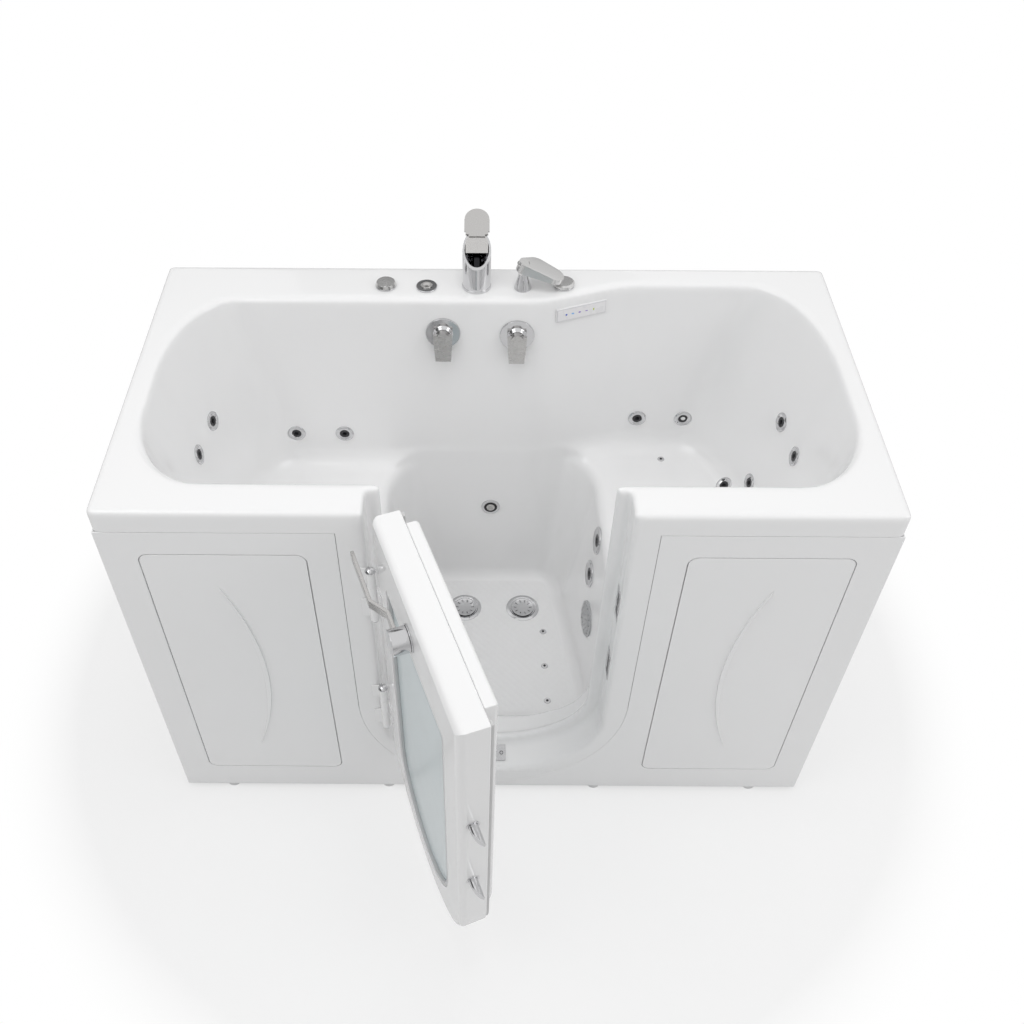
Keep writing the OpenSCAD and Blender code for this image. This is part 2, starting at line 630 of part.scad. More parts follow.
// ---- hinges ----
knuckle_d = 18;
pin_d = 8;
knuckle_gap = 0.5;
hinges = [710, 308];             // lowest point of each hinge
knuckle_h = [55, 50, 45];        // lower, middle and upper knuckle
module knuckle(z, h) translate([hinge[0], hinge[1], z]) difference() {
    cylinder(h = h, d = knuckle_d);
    translate([0, 0, -1]) cylinder(h = h + 2, d = pin_d + 0.1);
}
module leaf(x0, x1, z, h) difference() {
    box([x0, front_y - 3, z], [x1, front_y, z + h]);
    translate([hinge[0], hinge[1], z - 1]) cylinder(h = h + 2, d = knuckle_d - 4);
}
module jamb_hinge_knuckles() color([0.93, 0.93, 0.92])
    for (z = hinges, k = [[0, knuckle_h[0]], [knuckle_h[0] + knuckle_h[1], knuckle_h[2]]])
        difference() {
            union() {
                knuckle(z + k[0], k[1] - knuckle_gap);
                leaf(hinge[0] - 26, hinge[0] - 2, z + k[0], k[1] - knuckle_gap);
            }
            translate([hinge[0], hinge[1], z - 1]) cylinder(h = 200, d = pin_d + 0.1);
        }
module door_hinge_leaves() color([0.93, 0.93, 0.92]) swung() for (z = hinges) {
    base = z + knuckle_h[0] + knuckle_gap;
    high = knuckle_h[1] - 2 * knuckle_gap;
    knuckle(base, high);
    leaf(hinge[0] + 2, hinge[0] + 34, base, high);
}
module hinge_pins() color([0.75, 0.76, 0.78]) for (z = hinges) translate([hinge[0], hinge[1], 0]) {
    total = knuckle_h[0] + knuckle_h[1] + knuckle_h[2];
    translate([0, 0, z - 4]) cylinder(h = total + 4, d = pin_d);
    translate([0, 0, z - 5]) cylinder(h = 4, d = 14);
    intersection() {
        translate([0, 0, z + total - 4]) sphere(d = 24);
        translate([0, 0, z + total]) cylinder(h = 20, d = 30);
    }
}

// ---- latch ----
spindle_d = 12;
hub_h = 36;
arm_t = 7;
arm_h = 20;
guide_d = 22;
module on_lever() translate([lever_x, front_y, lever_z]) rotate([90, 0, 0]) children();

module lever_rose() color([0.75, 0.76, 0.78]) swung() on_lever() difference() {
    cylinder(h = 3, d = hub_d + 4);
    translate([0, 0, -1]) cylinder(h = 5, d = spindle_d + 0.6);
}
module lever_hub() color([0.75, 0.76, 0.78]) swung() on_lever() {
    translate([0, 0, 3.3]) cylinder(h = hub_h - 3.3, d = hub_d);
    translate([0, 0, -15]) cylinder(h = 30, d = spindle_d);
    // crank behind the skin of the door
    translate([0, 0, -15.5]) {
        cylinder(h = 3.5, d = 22);
        translate([0, -6, 0]) cube([22, 12, 3.5]);
    }
}
arm_out = [20, 43];              // distance of the arm's two straights from the door's face
module lever_arm() color([0.6, 0.61, 0.62]) swung() on_lever() difference() {
    translate([0, -arm_h / 2, 0]) rotate([90, 0, 180]) linear_extrude(arm_h) polygon([
        [hub_d / 2 - 4, arm_out[0] - arm_t / 2], [63, arm_out[0] - arm_t / 2],
        [98, arm_out[1] - arm_t / 2], [arm_l, arm_out[1] - arm_t / 2],
        [arm_l, arm_out[1] + arm_t / 2], [95, arm_out[1] + arm_t / 2],
        [60, arm_out[0] + arm_t / 2], [hub_d / 2 - 4, arm_out[0] + arm_t / 2]]);
    cylinder(h = 60, d = hub_d + 0.1);
}

// bar inside the door that the lever's crank lifts to draw the bolts
module latch_drive_bar() color([0.6, 0.6, 0.62]) swung() {
    y0 = cavity_y[0] + slide_clear;
    y1 = y0 + 5;
    box([lever_x + 12, y0, lever_z - 28], [212, y1, lever_z - 12]);
    box([198, y0, bolt_lo - 12], [212, y1, lever_z - 12]);
}
// round bolt whose outer side curves over to a blunt tip, so that it draws the door in
module latch_bolt(z) color([0.75, 0.76, 0.78]) swung() difference() {
    bend_r = 60;
    tip_x = door_w + bolt_throw;
    intersection() {
        translate([door_w - 30, bolt_y, z]) rotate([0, 90, 0]) cylinder(h = 30 + bolt_throw, d = bolt_d);
        union() {
            translate([door_w + 1, bolt_y - bolt_d / 2 + bend_r, z - 20]) cylinder(h = 40, r = bend_r, $fn = 96);
            box([door_w - 40, bolt_y - 20, z - 20], [door_w + 1, bolt_y + 20, z + 20]);
        }
    }
}
module upper_latch_bolt() latch_bolt(bolt_hi);
module lower_latch_bolt() latch_bolt(bolt_lo);
module latch_bolt_guides() color([0.75, 0.76, 0.78]) swung() for (z = [bolt_hi, bolt_lo])
    translate([door_w, bolt_y, z]) rotate([0, 90, 0]) difference() {
        union() {
            translate([0, 0, -19.5]) cylinder(h = 20, d = guide_d);
            cylinder(h = 1.5, d = guide_d + 3);
        }
        translate([0, 0, -30]) cylinder(h = 60, d = bolt_d + 0.2);
    }
module strike_plates() color([0.5, 0.51, 0.53]) for (s = strikes) difference() {
    translate([strike_x, strike_y, s[1]]) cube(strike_size);
    box([strike_x - 1, slot_y[0], s[1] + 8], [strike_x + 10, slot_y[1], s[1] + strike_size[2] - 8]);
}
sill_plate_size = [58, 39, 2];
sill_plate_at = [5, 38.5];       // its middle: along the tub and behind the front
module sill_plate() color([0.6, 0.61, 0.62]) {
    translate([sill_plate_at[0], front_y + sill_plate_at[1], pocket_z + door_slope * sill_plate_at[1] + 1.8])
        rotate([atan(door_slope), -1, 0]) difference() {
            translate([-sill_plate_size[0] / 2, -sill_plate_size[1] / 2, 0]) cube(sill_plate_size);
            for (x = [-19, 0, 19]) translate([x, 0, -1]) cylinder(h = 5, d = 7);
        }
    translate([sill_plate_at[0], front_y + 7, pocket_z + door_slope * 7 + 0.6]) rotate([atan(door_slope), 0, 0])
        cylinder(h = 1.5, d = 5);
}

// ---- mixer ----
tap_mouth = 63;                  // height of the column's front lip above the deck
tap_tall = 119;                  // height of the column's back above the deck
stem_d = 30;
trough_z = tap_mouth - 28;
tap_pivot = [14, 96];            // axis on which the lever tips: its place behind and above the column's foot
tip_pin_d = 5;
module tap() translate([tap_at[0], tap_at[1], rim_z]) children();
module mixer_body() color([0.75, 0.76, 0.78]) tap() difference() {
    union() {
        cylinder(h = 6, d = tap_d + 2);
        cylinder(h = tap_tall, d = tap_d);
        translate([0, 0, -50]) cylinder(h = 52, d = stem_d);
    }
    // slanted mouth and the trough behind it
    translate([0, -tap_d / 2, tap_mouth]) rotate([45, 0, 0]) translate([-60, -20, 0]) cube([120, 160, 100]);
    translate([0, 0, trough_z]) cylinder(h = 120, d = tap_d - 10);
}
// turning base in the trough, with the post and pin that the lever tips on
module mixer_cartridge() color([0.2, 0.2, 0.22]) tap() {
    translate([0, 0, trough_z + fit]) cylinder(h = 22, d = 36);
    translate([-6, tap_pivot[0] - 6, trough_z + 10]) cube([12, 12, tap_pivot[1] - trough_z - 6]);
    translate([-13, tap_pivot[0], tap_pivot[1]]) rotate([0, 90, 0]) cylinder(h = 26, d = tip_pin_d);
}
lever_w = 56;
module mixer_lever() color([0.66, 0.67, 0.68]) tap() translate([0, tap_pivot[0], tap_pivot[1]]) {
    for (x = [-12, 7.5]) translate([x, 0, 0]) difference() {
        union() {
            rotate([0, 90, 0]) cylinder(h = 4.5, d = 12);
            rotate([45, 0, 0]) translate([0, -4, 3]) cube([4.5, 8, 9]);
        }
        translate([-1, 0, 0]) rotate([0, 90, 0]) cylinder(h = 8, d = tip_pin_d + 0.1);
    }
    // apron that closes the column's mouth and the paddle behind it
    intersection() {
        rotate([45, 0, 0]) translate([-25, -18, 9.8]) cube([50, 40, 4]);
        translate([0, -tap_pivot[0], -60]) cylinder(h = 160, d = tap_d - 11);
    }
    translate([0, 8, 25]) rotate([24, 0, 0]) linear_extrude(5) {
        translate([-18, -8]) square([36, 8]);
        translate([-25, -3]) square([50, 17]);
        translate([-lever_w / 2, 5]) square([lever_w, 31]);
        translate([0, 36]) circle(d = lever_w - 1);
    }
}
tail_x = [tap_at[0] - 40, tap_at[0] + 40];
tail_end = back_y - 4;
module mixer_supply_tails() color([0.72, 0.5, 0.3]) for (i = [0, 1]) {
    x = tap_at[0] + (i == 0 ? -9 : 9);
    z = rim_z - 50;
    run([[x, tap_at[1], z], [x, tap_at[1], z - 40 - 30 * i], [tail_x[i], tap_at[1], z - 40 - 30 * i],
        [tail_x[i], tap_at[1], z - 110], [tail_x[i], tail_end - 24, z - 110]], 12);
    translate([tail_x[i], tail_end - 26, z - 110]) rotate([-90, 0, 0]) cylinder(h = 26, d = inlet_d);
}

// ---- hand shower ----
module shower_holder() color([0.75, 0.76, 0.78]) translate([holder_at[0], holder_at[1], rim_z]) {
    rotate_extrude() polygon([[5, 0], [20, 0], [20, 3], [12, 30], [11, 40], [8, 40], [8, 6], [5, 6]]);
    translate([0, 0, -32]) difference() {
        cylinder(h = 33, d = 24);
        translate([0, 0, -1]) cylinder(h = 40, d = 10);
    }
}
head_t = 18;
module hand_shower() color([0.75, 0.76, 0.78]) translate([holder_at[0], holder_at[1], rim_z]) {
    translate([0, 0, 40.3]) cylinder(h = 26, d1 = 23, d2 = 28);
    translate([0, 0, 8]) cylinder(h = 34, d = 15);
    // rounded triangular head leaning over to the right
    translate([0, 0, 66]) rotate([0, 20, 0]) {
        hull() {
            translate([6, 0, -19]) cylinder(h = 23, d = 34, $fn = 32);
            translate([34, 8, -16]) cylinder(h = head_t, d = 54, $fn = 32);
            translate([74, -3, -13]) cylinder(h = 13, d = 48, $fn = 32);
        }
        for (x = [30, 45, 60, 75], y = [-10, 3, 16]) if (x < 70 || y < 10)
            translate([x, y, -18]) cylinder(h = 6, d = 5);
    }
}

// ---- deck knobs ----
bezel_t = 4;
module deck_bezels() color([0.75, 0.76, 0.78]) difference() {
    each_deck_knob() difference() {
        union() {
            cylinder(h = bezel_t, d = knob_d);
            translate([0, 0, -24]) cylinder(h = 25, d = 30);
        }
        translate([0, 0, -20]) cylinder(h = 40, d = 16);
    }
    translate([push_at[0], push_at[1], rim_z - 6]) cylinder(h = 20, d = 26);
}
module knob_stem(h) translate([0, 0, -16]) cylinder(h = h, d = 15);
module air_control_knob() color([0.72, 0.73, 0.75]) translate([air_knob_at[0], air_knob_at[1], rim_z]) {
    knob_stem(22);
    translate([0, 0, bezel_t + 0.5]) cylinder(h = 7, d1 = knob_d, d2 = knob_d - 6);
    translate([-2, -knob_d / 2 + 4, bezel_t + 7]) cube([4, knob_d / 2, 3]);
}
module push_button() color([0.3, 0.3, 0.32]) translate([push_at[0], push_at[1], rim_z]) {
    knob_stem(20);
    translate([0, 0, -1.5]) difference() {
        cylinder(h = 8, d = 25);
        translate([0, 0, 26]) sphere(d = 40);
    }
}
module diverter_knob() color([0.75, 0.76, 0.78]) translate([diverter_at[0], diverter_at[1], rim_z]) {
    knob_stem(22);
    translate([0, 0, bezel_t + 0.5]) cylinder(h = 6, d = knob_d);
    translate([0, 0, bezel_t + 6]) cylinder(h = 3, d1 = knob_d, d2 = knob_d - 8);
}
module control_keypad() color([0.93, 0.94, 0.95]) on_back(keypad_at[0], keypad_at[1]) rotate([0, 0, 90])
    translate([0, 0, fit]) keypad_block(0, 0);

// ---- drain handles ----
handle_l = 60;
module drain_handle_plates() color([0.75, 0.76, 0.78]) for (p = handle_at) on_back(p[0], p[1]) difference() {
    union() {
        translate([0, 0, -seat_depth + fit]) cylinder(h = 5, d = plate_d);
        translate([0, 0, 3]) cylinder(h = 8, d1 = 46, d2 = 34);
        translate([0, 0, -30]) cylinder(h = 32, d = 25);
    }
    translate([0, 0, -25]) cylinder(h = 50, d = 12);
}
module drain_handle(p) color([0.6, 0.61, 0.62]) on_back(p[0], p[1]) {
    translate([0, 0, -20]) cylinder(h = 32, d = 11.8);
    translate([0, 0, 11.5]) cylinder(h = 14, d = 30);
    // local +X points down the wall
    translate([0, 0, 15]) hull() {
        translate([-8, -22, 0]) cube([14, 44, 8]);
        translate([handle_l, -18, 3]) cube([5, 36, 5]);
    }
}
module left_drain_handle() drain_handle(handle_at[0]);
module right_drain_handle() drain_handle(handle_at[1]);

// ---- drains ----
cup_d = 60;
pipe_z = 2 + waste_d / 2;
joint_z = pipe_z + waste_d / 2 + 4;
module each_drain() for (p = drain_at) translate([p[0], p[1], 0]) children();
module drain_bodies() color([0.75, 0.76, 0.78]) {
    drain_cups();
    drain_guides();
}
module drain_cups() each_drain() rotate_extrude() polygon([
    [14, joint_z], [20, joint_z], [20, joint_z + 8], [cup_d / 2, joint_z + 12],
    [cup_d / 2, well_z - seat_depth + fit], [drain_d / 2, well_z - seat_depth + fit],
    [drain_d / 2, well_z + 1], [drain_d / 2 - 8, well_z + 3], [drain_d / 2 - 12, well_z + 1],
    [cup_d / 2 - 4, well_z + 1], [cup_d / 2 - 4, joint_z + 14], [14, joint_z + 12]]);
// bridge across the drain that guides the cover's stem
module drain_guides() each_drain() translate([0, 0, well_z - 16]) difference() {
    union() {
        translate([-cup_d / 2 + 2, -3, 0]) cube([cup_d - 4, 6, 5]);
        cylinder(h = 8, d = 16);
    }
    translate([0, 0, -1]) cylinder(h = 12, d = 8.2);
}
module drain_cover(p) color([0.78, 0.79, 0.8]) translate([p[0], p[1], well_z]) {
    rotate_extrude() polygon([[0, 2], [20, 2], [30, 3.4], [31, 5], [30, 6.5], [18, 5], [12, 6], [0, 6.5]]);
    translate([0, 0, -22]) cylinder(h = 25, d = 8);
}
module left_drain_cover() drain_cover(drain_at[0]);
module right_drain_cover() drain_cover(drain_at[1]);
module overflow_fitting() color([0.75, 0.76, 0.78]) on_well_back(overflow_at[0], overflow_at[1]) difference() {
    union() {
        translate([0, 0, -seat_depth + fit]) cylinder(h = 4, d = 49);
        translate([0, 0, -26]) cylinder(h = 27, d = 31);
    }
    translate([0, 0, -30]) cylinder(h = 60, d = 22);
}
over_y = well_back_wall(overflow_at[1]) + 46;
module waste_pipes() color([0.9, 0.9, 0.88]) {
    x = overflow_at[0];
    y = drain_at[0][1];
    translate([drain_at[0][0], y, pipe_z]) rotate([0, 90, 0]) cylinder(h = drain_at[1][0] - drain_at[0][0], d = waste_d);
    for (p = drain_at) {
        // tee sockets under the drains
        translate([p[0], p[1], 1.5]) cylinder(h = joint_z - 1.5, d = waste_d + 8);
    }
    translate([x, y, pipe_z]) rotate([-90, 0, 0]) cylinder(h = back_y - 3 - y, d = waste_d);
    // collar behind the outlet
    translate([x, back_y - 65, pipe_z]) rotate([-90, 0, 0]) cylinder(h = 32, d = waste_d + 3);
    // riser to the overflow
    translate([x, over_y, pipe_z]) cylinder(h = overflow_at[1] - pipe_z, d = 31);
    translate([x, over_y, overflow_at[1] - 20]) cylinder(h = 40, d = 38);
    translate([x, over_y, overflow_at[1] - 1.5]) rotate([90, 0, 0]) cylinder(h = 18, d = 31);
}
// cables from the handles to the drains
cable_y = 306;
module drain_cables() color([0.15, 0.15, 0.16]) for (i = [0, 1]) {
    h = handle_at[i];
    d = drain_at[i];
    run([[h[0], 294, h[1] - 1], [h[0], cable_y, h[1] - 1], [h[0], cable_y, 450], [d[0], cable_y, 450],
        [d[0], cable_y, 67], [d[0], d[1] + cup_d / 2, 67]], 5);
}

// ---- jets ----
module ring_profile(d, hole, h) rotate_extrude() polygon([
    [hole / 2, -seat_depth + fit], [d / 2, -seat_depth + fit], [d / 2, h * 0.4],
    [d / 2 - 4, h], [d / 2 - 8, h * 0.6], [hole / 2, h * 0.3]]);
module jet_rings() color([0.75, 0.76, 0.78]) {
    each_seat_jet() ring_profile(jet_d, 24, 3);
    each_leg_jet() ring_profile(leg_jet_d, 32, 4);
}
module nozzle(d, h) {
    difference() {
        translate([0, 0, -36]) cylinder(h = 36 + h, d = d);
        translate([0, 0, -6]) cylinder(h = 20, d1 = 8, d2 = d - 3);
    }
}
module jet_nozzles() color([0.12, 0.12, 0.13]) {
    each_seat_jet() nozzle(23.6, 1);
    each_leg_jet() nozzle(31.6, 1.5);
}
module air_jets() color([0.75, 0.76, 0.78]) each_air_jet() difference() {
    union() {
        translate([0, 0, -seat_depth + fit]) cylinder(h = 3, d1 = air_jet_d, d2 = air_jet_d - 4);
        translate([0, 0, -20]) cylinder(h = 20, d = 9.6);
    }
    translate([0, 0, -4]) cylinder(h = 10, d = 4);
}
module suction_covers() color([0.75, 0.76, 0.78]) each_suction() difference() {
    union() {
        translate([0, 0, -seat_depth + fit]) cylinder(h = 5, d = suction_d);
        translate([0, 0, 3]) cylinder(h = 5, d1 = suction_d - 6, d2 = suction_d - 30);
        translate([0, 0, -34]) cylinder(h = 36, d = 59);
    }
    translate([0, 0, -28]) cylinder(h = 32, d = 50);
    for (ring = [16, 28, 38], a = [0:360 / (ring > 30 ? 16 : 8):359])
        rotate([0, 0, a]) translate([ring, 0, 0]) cylinder(h = 20, d = 5);
}

// ---- machinery under the seats ----
deck_top = base_top + board_t;
pump_at = [480, 20, deck_top + 85];
module jet_pump() color([0.2, 0.22, 0.25]) translate(pump_at) {
    rotate([0, 90, 0]) cylinder(h = 180, d = 130);
    translate([-60, 0, 0]) rotate([0, 90, 0]) cylinder(h = 62, d = 150);
    translate([-90, 0, 0]) rotate([0, 90, 0]) cylinder(h = 40, d = 54);
    translate([-30, 0, 0]) cylinder(h = 100, d = 44);
    box([10, -60, -85], [150, 60, -50]);
}
module air_blower() color([0.15, 0.16, 0.18]) translate([-560, 30, deck_top]) {
    cylinder(h = 120, d = 180);
    translate([0, 0, 120]) cylinder(h = 70, d = 110);
    translate([0, -60, 40]) rotate([90, 0, 0]) cylinder(h = 60, d = 40);
}
module control_box() color([0.3, 0.31, 0.33]) {
    box([-440, 80, deck_top], [-350, 230, deck_top + 220]);
    translate([-395, 230, deck_top + 40]) rotate([-90, 0, 0]) difference() {
        cylinder(h = 18, d = 26);
        translate([0, 0, 4]) cylinder(h = 20, d = 10);
    }
}
pipe_d = 30;
loop_x = frame_x - 60;
loop_y = frame_y - bar - pipe_d / 2;
loop_z = 560;
suction_x = well_side(1, suction_at[0], suction_at[1]) + 54;
// pressure loop behind the seats with a drop from every jet, and the suction line to the pump
module water_pipes() color([0.92, 0.92, 0.9]) {
    p = pump_at;
    s = suction_at;
    run([[-loop_x, -6, 764], [-loop_x, -6, loop_z], [-loop_x, loop_y, loop_z], [loop_x, loop_y, loop_z],
        [loop_x, 0, loop_z], [loop_x, 0, 764]], pipe_d);
    run([[p[0] - 30, p[1], p[2] + 100], [p[0] - 30, p[1], seat_top - bar - 24],
        [p[0] - 30, loop_y, seat_top - bar - 24], [p[0] - 30, loop_y, loop_z]], 28);
    each_suction() translate([0, 0, -42.2]) cylinder(h = 8, d = 36);
    run([[suction_x - 14, s[0] + 4, s[1] - 7], [352, s[0] + 4, s[1] - 7], [352, p[1], s[1] - 7],
        [352, p[1], p[2]], [390, p[1], p[2]]], 36);
    run([[14 - suction_x, s[0] + 4, s[1] - 7], [-suction_x, s[0] + 4, s[1] - 7], [-suction_x, s[0] + 4, 24],
        [suction_x, s[0] + 4, 24], [suction_x, s[0] + 4, s[1] - 7]], 28);
}
air_rail = [floor_jets[1][0] + 1.5, 57.8];
module air_pipes() color([0.85, 0.85, 0.84]) {
    x = air_rail[0];
    z = air_rail[1];
    run([[x, 40, z], [x, -232, z], [x, -232, z - 20], [-x, -232, z - 20], [-x, -232, z], [-x, 40, z]], 24);
    translate([-x - 22, -232, z - 20]) rotate([0, 90, 0]) cylinder(h = 30, d = 27);
    run([[-x - 20, -232, z - 20], [-450, -232, z - 20], [-450, -232, deck_top + 40], [-560, -232, deck_top + 40],
        [-560, -90, deck_top + 40]], 24);
}

tub_shell();
front_skirt();
left_end_skirt();
right_end_skirt();
left_access_panel();
right_access_panel();
panel_catches();
long_frame_bars();
cross_frame_bars();
frame_uprights();
levelling_feet();
foot_lock_nuts();
equipment_boards();
jamb_hinge_knuckles();
hinge_pins();
strike_plates();
sill_plate();
door_panel();
door_liner();
door_window();
window_bezel();
door_seal();
door_hinge_leaves();
lever_rose();
lever_hub();
lever_arm();
latch_drive_bar();
upper_latch_bolt();
lower_latch_bolt();
latch_bolt_guides();
mixer_body();
mixer_cartridge();
mixer_lever();
mixer_supply_tails();
shower_holder();
hand_shower();
deck_bezels();
air_control_knob();
push_button();
diverter_knob();
control_keypad();
drain_handle_plates();
left_drain_handle();
right_drain_handle();
drain_bodies();
drain_cables();
left_drain_cover();
right_drain_cover();
overflow_fitting();
waste_pipes();
jet_rings();
jet_nozzles();
air_jets();
suction_covers();
jet_pump();
air_blower();
control_box();
water_pipes();
air_pipes();
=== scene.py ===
import json
import math

import bpy
from mathutils import Matrix, Vector


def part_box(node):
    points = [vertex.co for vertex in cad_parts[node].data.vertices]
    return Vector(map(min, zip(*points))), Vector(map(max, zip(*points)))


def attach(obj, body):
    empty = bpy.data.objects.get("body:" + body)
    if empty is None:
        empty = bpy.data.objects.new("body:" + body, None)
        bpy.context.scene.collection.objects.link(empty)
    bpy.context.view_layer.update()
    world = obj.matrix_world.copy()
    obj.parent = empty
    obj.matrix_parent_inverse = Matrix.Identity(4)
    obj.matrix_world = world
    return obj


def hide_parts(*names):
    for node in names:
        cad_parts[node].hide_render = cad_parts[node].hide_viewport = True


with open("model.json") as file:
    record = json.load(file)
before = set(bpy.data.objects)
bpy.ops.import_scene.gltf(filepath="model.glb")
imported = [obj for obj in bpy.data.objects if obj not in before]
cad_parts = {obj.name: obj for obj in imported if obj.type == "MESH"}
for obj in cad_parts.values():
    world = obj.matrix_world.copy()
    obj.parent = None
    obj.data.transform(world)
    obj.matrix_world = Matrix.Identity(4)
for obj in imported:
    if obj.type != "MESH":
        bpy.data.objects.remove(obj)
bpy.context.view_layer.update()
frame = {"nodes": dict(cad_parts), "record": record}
mm = 0.001
print("frame loaded")


def feed(tree, slot, value):
    if isinstance(value, Socket):
        tree.links.new(value.socket, slot)
    elif isinstance(value, tuple) and len(value) == 3 and slot.type == "RGBA":
        slot.default_value = (*value, 1)
    else:
        slot.default_value = value


def mathNode(tree, operation, *values):
    node = tree.nodes.new("ShaderNodeMath")
    node.operation = operation
    for slot, value in zip(node.inputs, values):
        feed(tree, slot, value)
    return Socket(tree, node.outputs[0])


class Socket:
    # one output of a node; arithmetic on it adds Math nodes to its tree
    def __init__(self, tree, socket):
        self.tree, self.socket = tree, socket

    def maths(self, operation, *others):
        return mathNode(self.tree, operation, self, *others)

    def flipped(self, operation, other):
        return mathNode(self.tree, operation, other, self)

    def __add__(self, other): return self.maths("ADD", other)
    def __radd__(self, other): return self.flipped("ADD", other)
    def __sub__(self, other): return self.maths("SUBTRACT", other)
    def __rsub__(self, other): return self.flipped("SUBTRACT", other)
    def __mul__(self, other): return self.maths("MULTIPLY", other)
    def __rmul__(self, other): return self.flipped("MULTIPLY", other)
    def __gt__(self, other): return self.maths("GREATER_THAN", other)
    def __lt__(self, other): return self.maths("LESS_THAN", other)


class Finish:
    # a material with one Principled shader
    def __init__(self, name, **constants):
        self.material = bpy.data.materials.new(name)
        self.material.use_nodes = True
        self.tree = self.material.node_tree
        self.shader = self.tree.nodes["Principled BSDF"]
        place = self.tree.nodes.new("ShaderNodeTexCoord").outputs["Object"]
        self.place = Socket(self.tree, place)
        self.set(**constants)

    def set(self, **values):
        for key, value in values.items():
            feed(self.tree, self.shader.inputs[key.replace("_", " ")], value)

    def node(self, kind, settings, output=0, **inputs):
        # inputs go by name, or by place as i0, i1 and so on
        node = self.tree.nodes.new("ShaderNode" + kind)
        for key, value in settings.items():
            setattr(node, key, value)
        for key, value in inputs.items():
            byPlace = key[0] == "i" and key[1:].isdigit()
            feed(self.tree, node.inputs[int(key[1:]) if byPlace else key.replace("_", " ")], value)
        return Socket(self.tree, node.outputs[output])

    def noise(self, scale, stretch=(1, 1, 1), detail=3.0):
        spot = self.node("Mapping", {}, Vector=self.place, Scale=stretch)
        return self.node("TexNoise", {}, Vector=spot, Scale=scale, Detail=detail)

    def between(self, factor, low, high):
        return self.node("MapRange", {}, Value=factor, To_Min=low, To_Max=high, From_Min=0.3, From_Max=0.7)

    def tint(self, factor, low, high):
        return self.node("Mix", {"data_type": "RGBA"}, output=2, i0=factor, i6=(*low, 1), i7=(*high, 1))

    def bump(self, height, strength, distance):
        self.set(Normal=self.node("Bump", {}, Height=height, Strength=strength, Distance=distance))

    def axes(self):
        parts = self.node("SeparateXYZ", {}, Vector=self.place)
        return [Socket(self.tree, output) for output in parts.socket.node.outputs]


def acrylic(name, color, rough):
    finish = Finish(name, Base_Color=color, Coat_Weight=0.5, Coat_Roughness=0.03)
    finish.set(Roughness=finish.between(finish.noise(5, detail=1.0), rough, rough + 0.03))
    return finish


def faded(color, share): return tuple(part * share for part in color)


# raised diamond tread on the well's floor, in metres: the heights that it lies between, its end at the
# back and its pitch
tread = {"low": 0.08, "high": 0.0925, "backY": 0.2, "pitch": 0.011, "flat": 1.1, "blend": 0.3,
         "strength": 0.55, "height": 0.0011}
materials = {}
gloss = acrylic("acrylicMaterial", (0.90, 0.90, 0.902), 0.2)
x, y, z = gloss.axes()
ground = (z < tread["high"]) * (z > tread["low"]) * (y < tread["backY"])
ridges = (x + y).maths("PINGPONG", tread["pitch"]) + (x - y).maths("PINGPONG", tread["pitch"])
ridges = (ridges * (1 / tread["pitch"])).maths("SMOOTH_MIN", tread["flat"], tread["blend"])
gloss.bump(ridges * ground, tread["strength"], tread["height"])
materials["acrylic"] = gloss
materials["skirt"] = acrylic("skirtMaterial", (0.90, 0.90, 0.903), 0.24)

# metals: colour, lowest and highest roughness, stretch and scale of the grain
metals = {
    "chrome": ((0.66, 0.66, 0.67), 0.05, 0.1, (1, 1, 1), 12),
    "satin_metal": ((0.60, 0.59, 0.58), 0.26, 0.29, (1, 1, 3), 30),
    "soft_metal": ((0.72, 0.715, 0.71), 0.2, 0.23, (1, 1, 1), 20),
    "smoke": ((0.17, 0.17, 0.18), 0.08, 0.14, (1, 1, 1), 20),
    "steel": ((0.56, 0.56, 0.57), 0.2, 0.34, (1, 12, 1), 60),
    "frame_metal": ((0.44, 0.45, 0.46), 0.38, 0.55, (1, 1, 1), 35),
    "brass": ((0.62, 0.45, 0.18), 0.25, 0.4, (1, 1, 1), 40),
}
fineBump = (0.05, 0.0003)
dullFrom = 0.3  # metals rougher than this have a grain that can be felt
for name, (color, low, high, stretch, scale) in metals.items():
    finish = Finish(name + "Material", Metallic=1.0)
    grain = finish.noise(scale, stretch)
    finish.set(Roughness=finish.between(grain, low, high))
    finish.set(Base_Color=finish.tint(grain, color, faded(color, 0.98)))
    if high > dullFrom:
        finish.bump(grain, *fineBump)
    materials[name] = finish

# plastics and rubber: colour, lowest and highest roughness, scale of the grain
plastics = {
    "foot": ((0.74, 0.74, 0.74), 0.45, 0.6, 60),
    "bezel": ((0.60, 0.605, 0.61), 0.35, 0.45, 40),
    "seal": ((0.62, 0.62, 0.62), 0.5, 0.6, 40),
    "dark_plastic": ((0.03, 0.03, 0.033), 0.3, 0.42, 70),
    "grey_plastic": ((0.46, 0.465, 0.475), 0.3, 0.38, 30),
    "pipe": ((0.78, 0.78, 0.77), 0.3, 0.42, 20),
    "pump_body": ((0.035, 0.04, 0.05), 0.38, 0.55, 40),
    "keypad": ((0.88, 0.875, 0.885), 0.25, 0.32, 30),
}
for name, (color, low, high, scale) in plastics.items():
    finish = Finish(name + "Material")
    grain = finish.noise(scale)
    finish.set(Roughness=finish.between(grain, low, high))
    finish.set(Base_Color=finish.tint(grain, color, faded(color, 0.93)))
    finish.bump(finish.noise(220), *fineBump)
    materials[name] = finish

glass = Finish("windowMaterial", Base_Color=(0.78, 0.865, 0.885), Transmission_Weight=0.2, IOR=1.45)
glass.set(Roughness=glass.between(glass.noise(6), 0.16, 0.2))
materials["window"] = glass

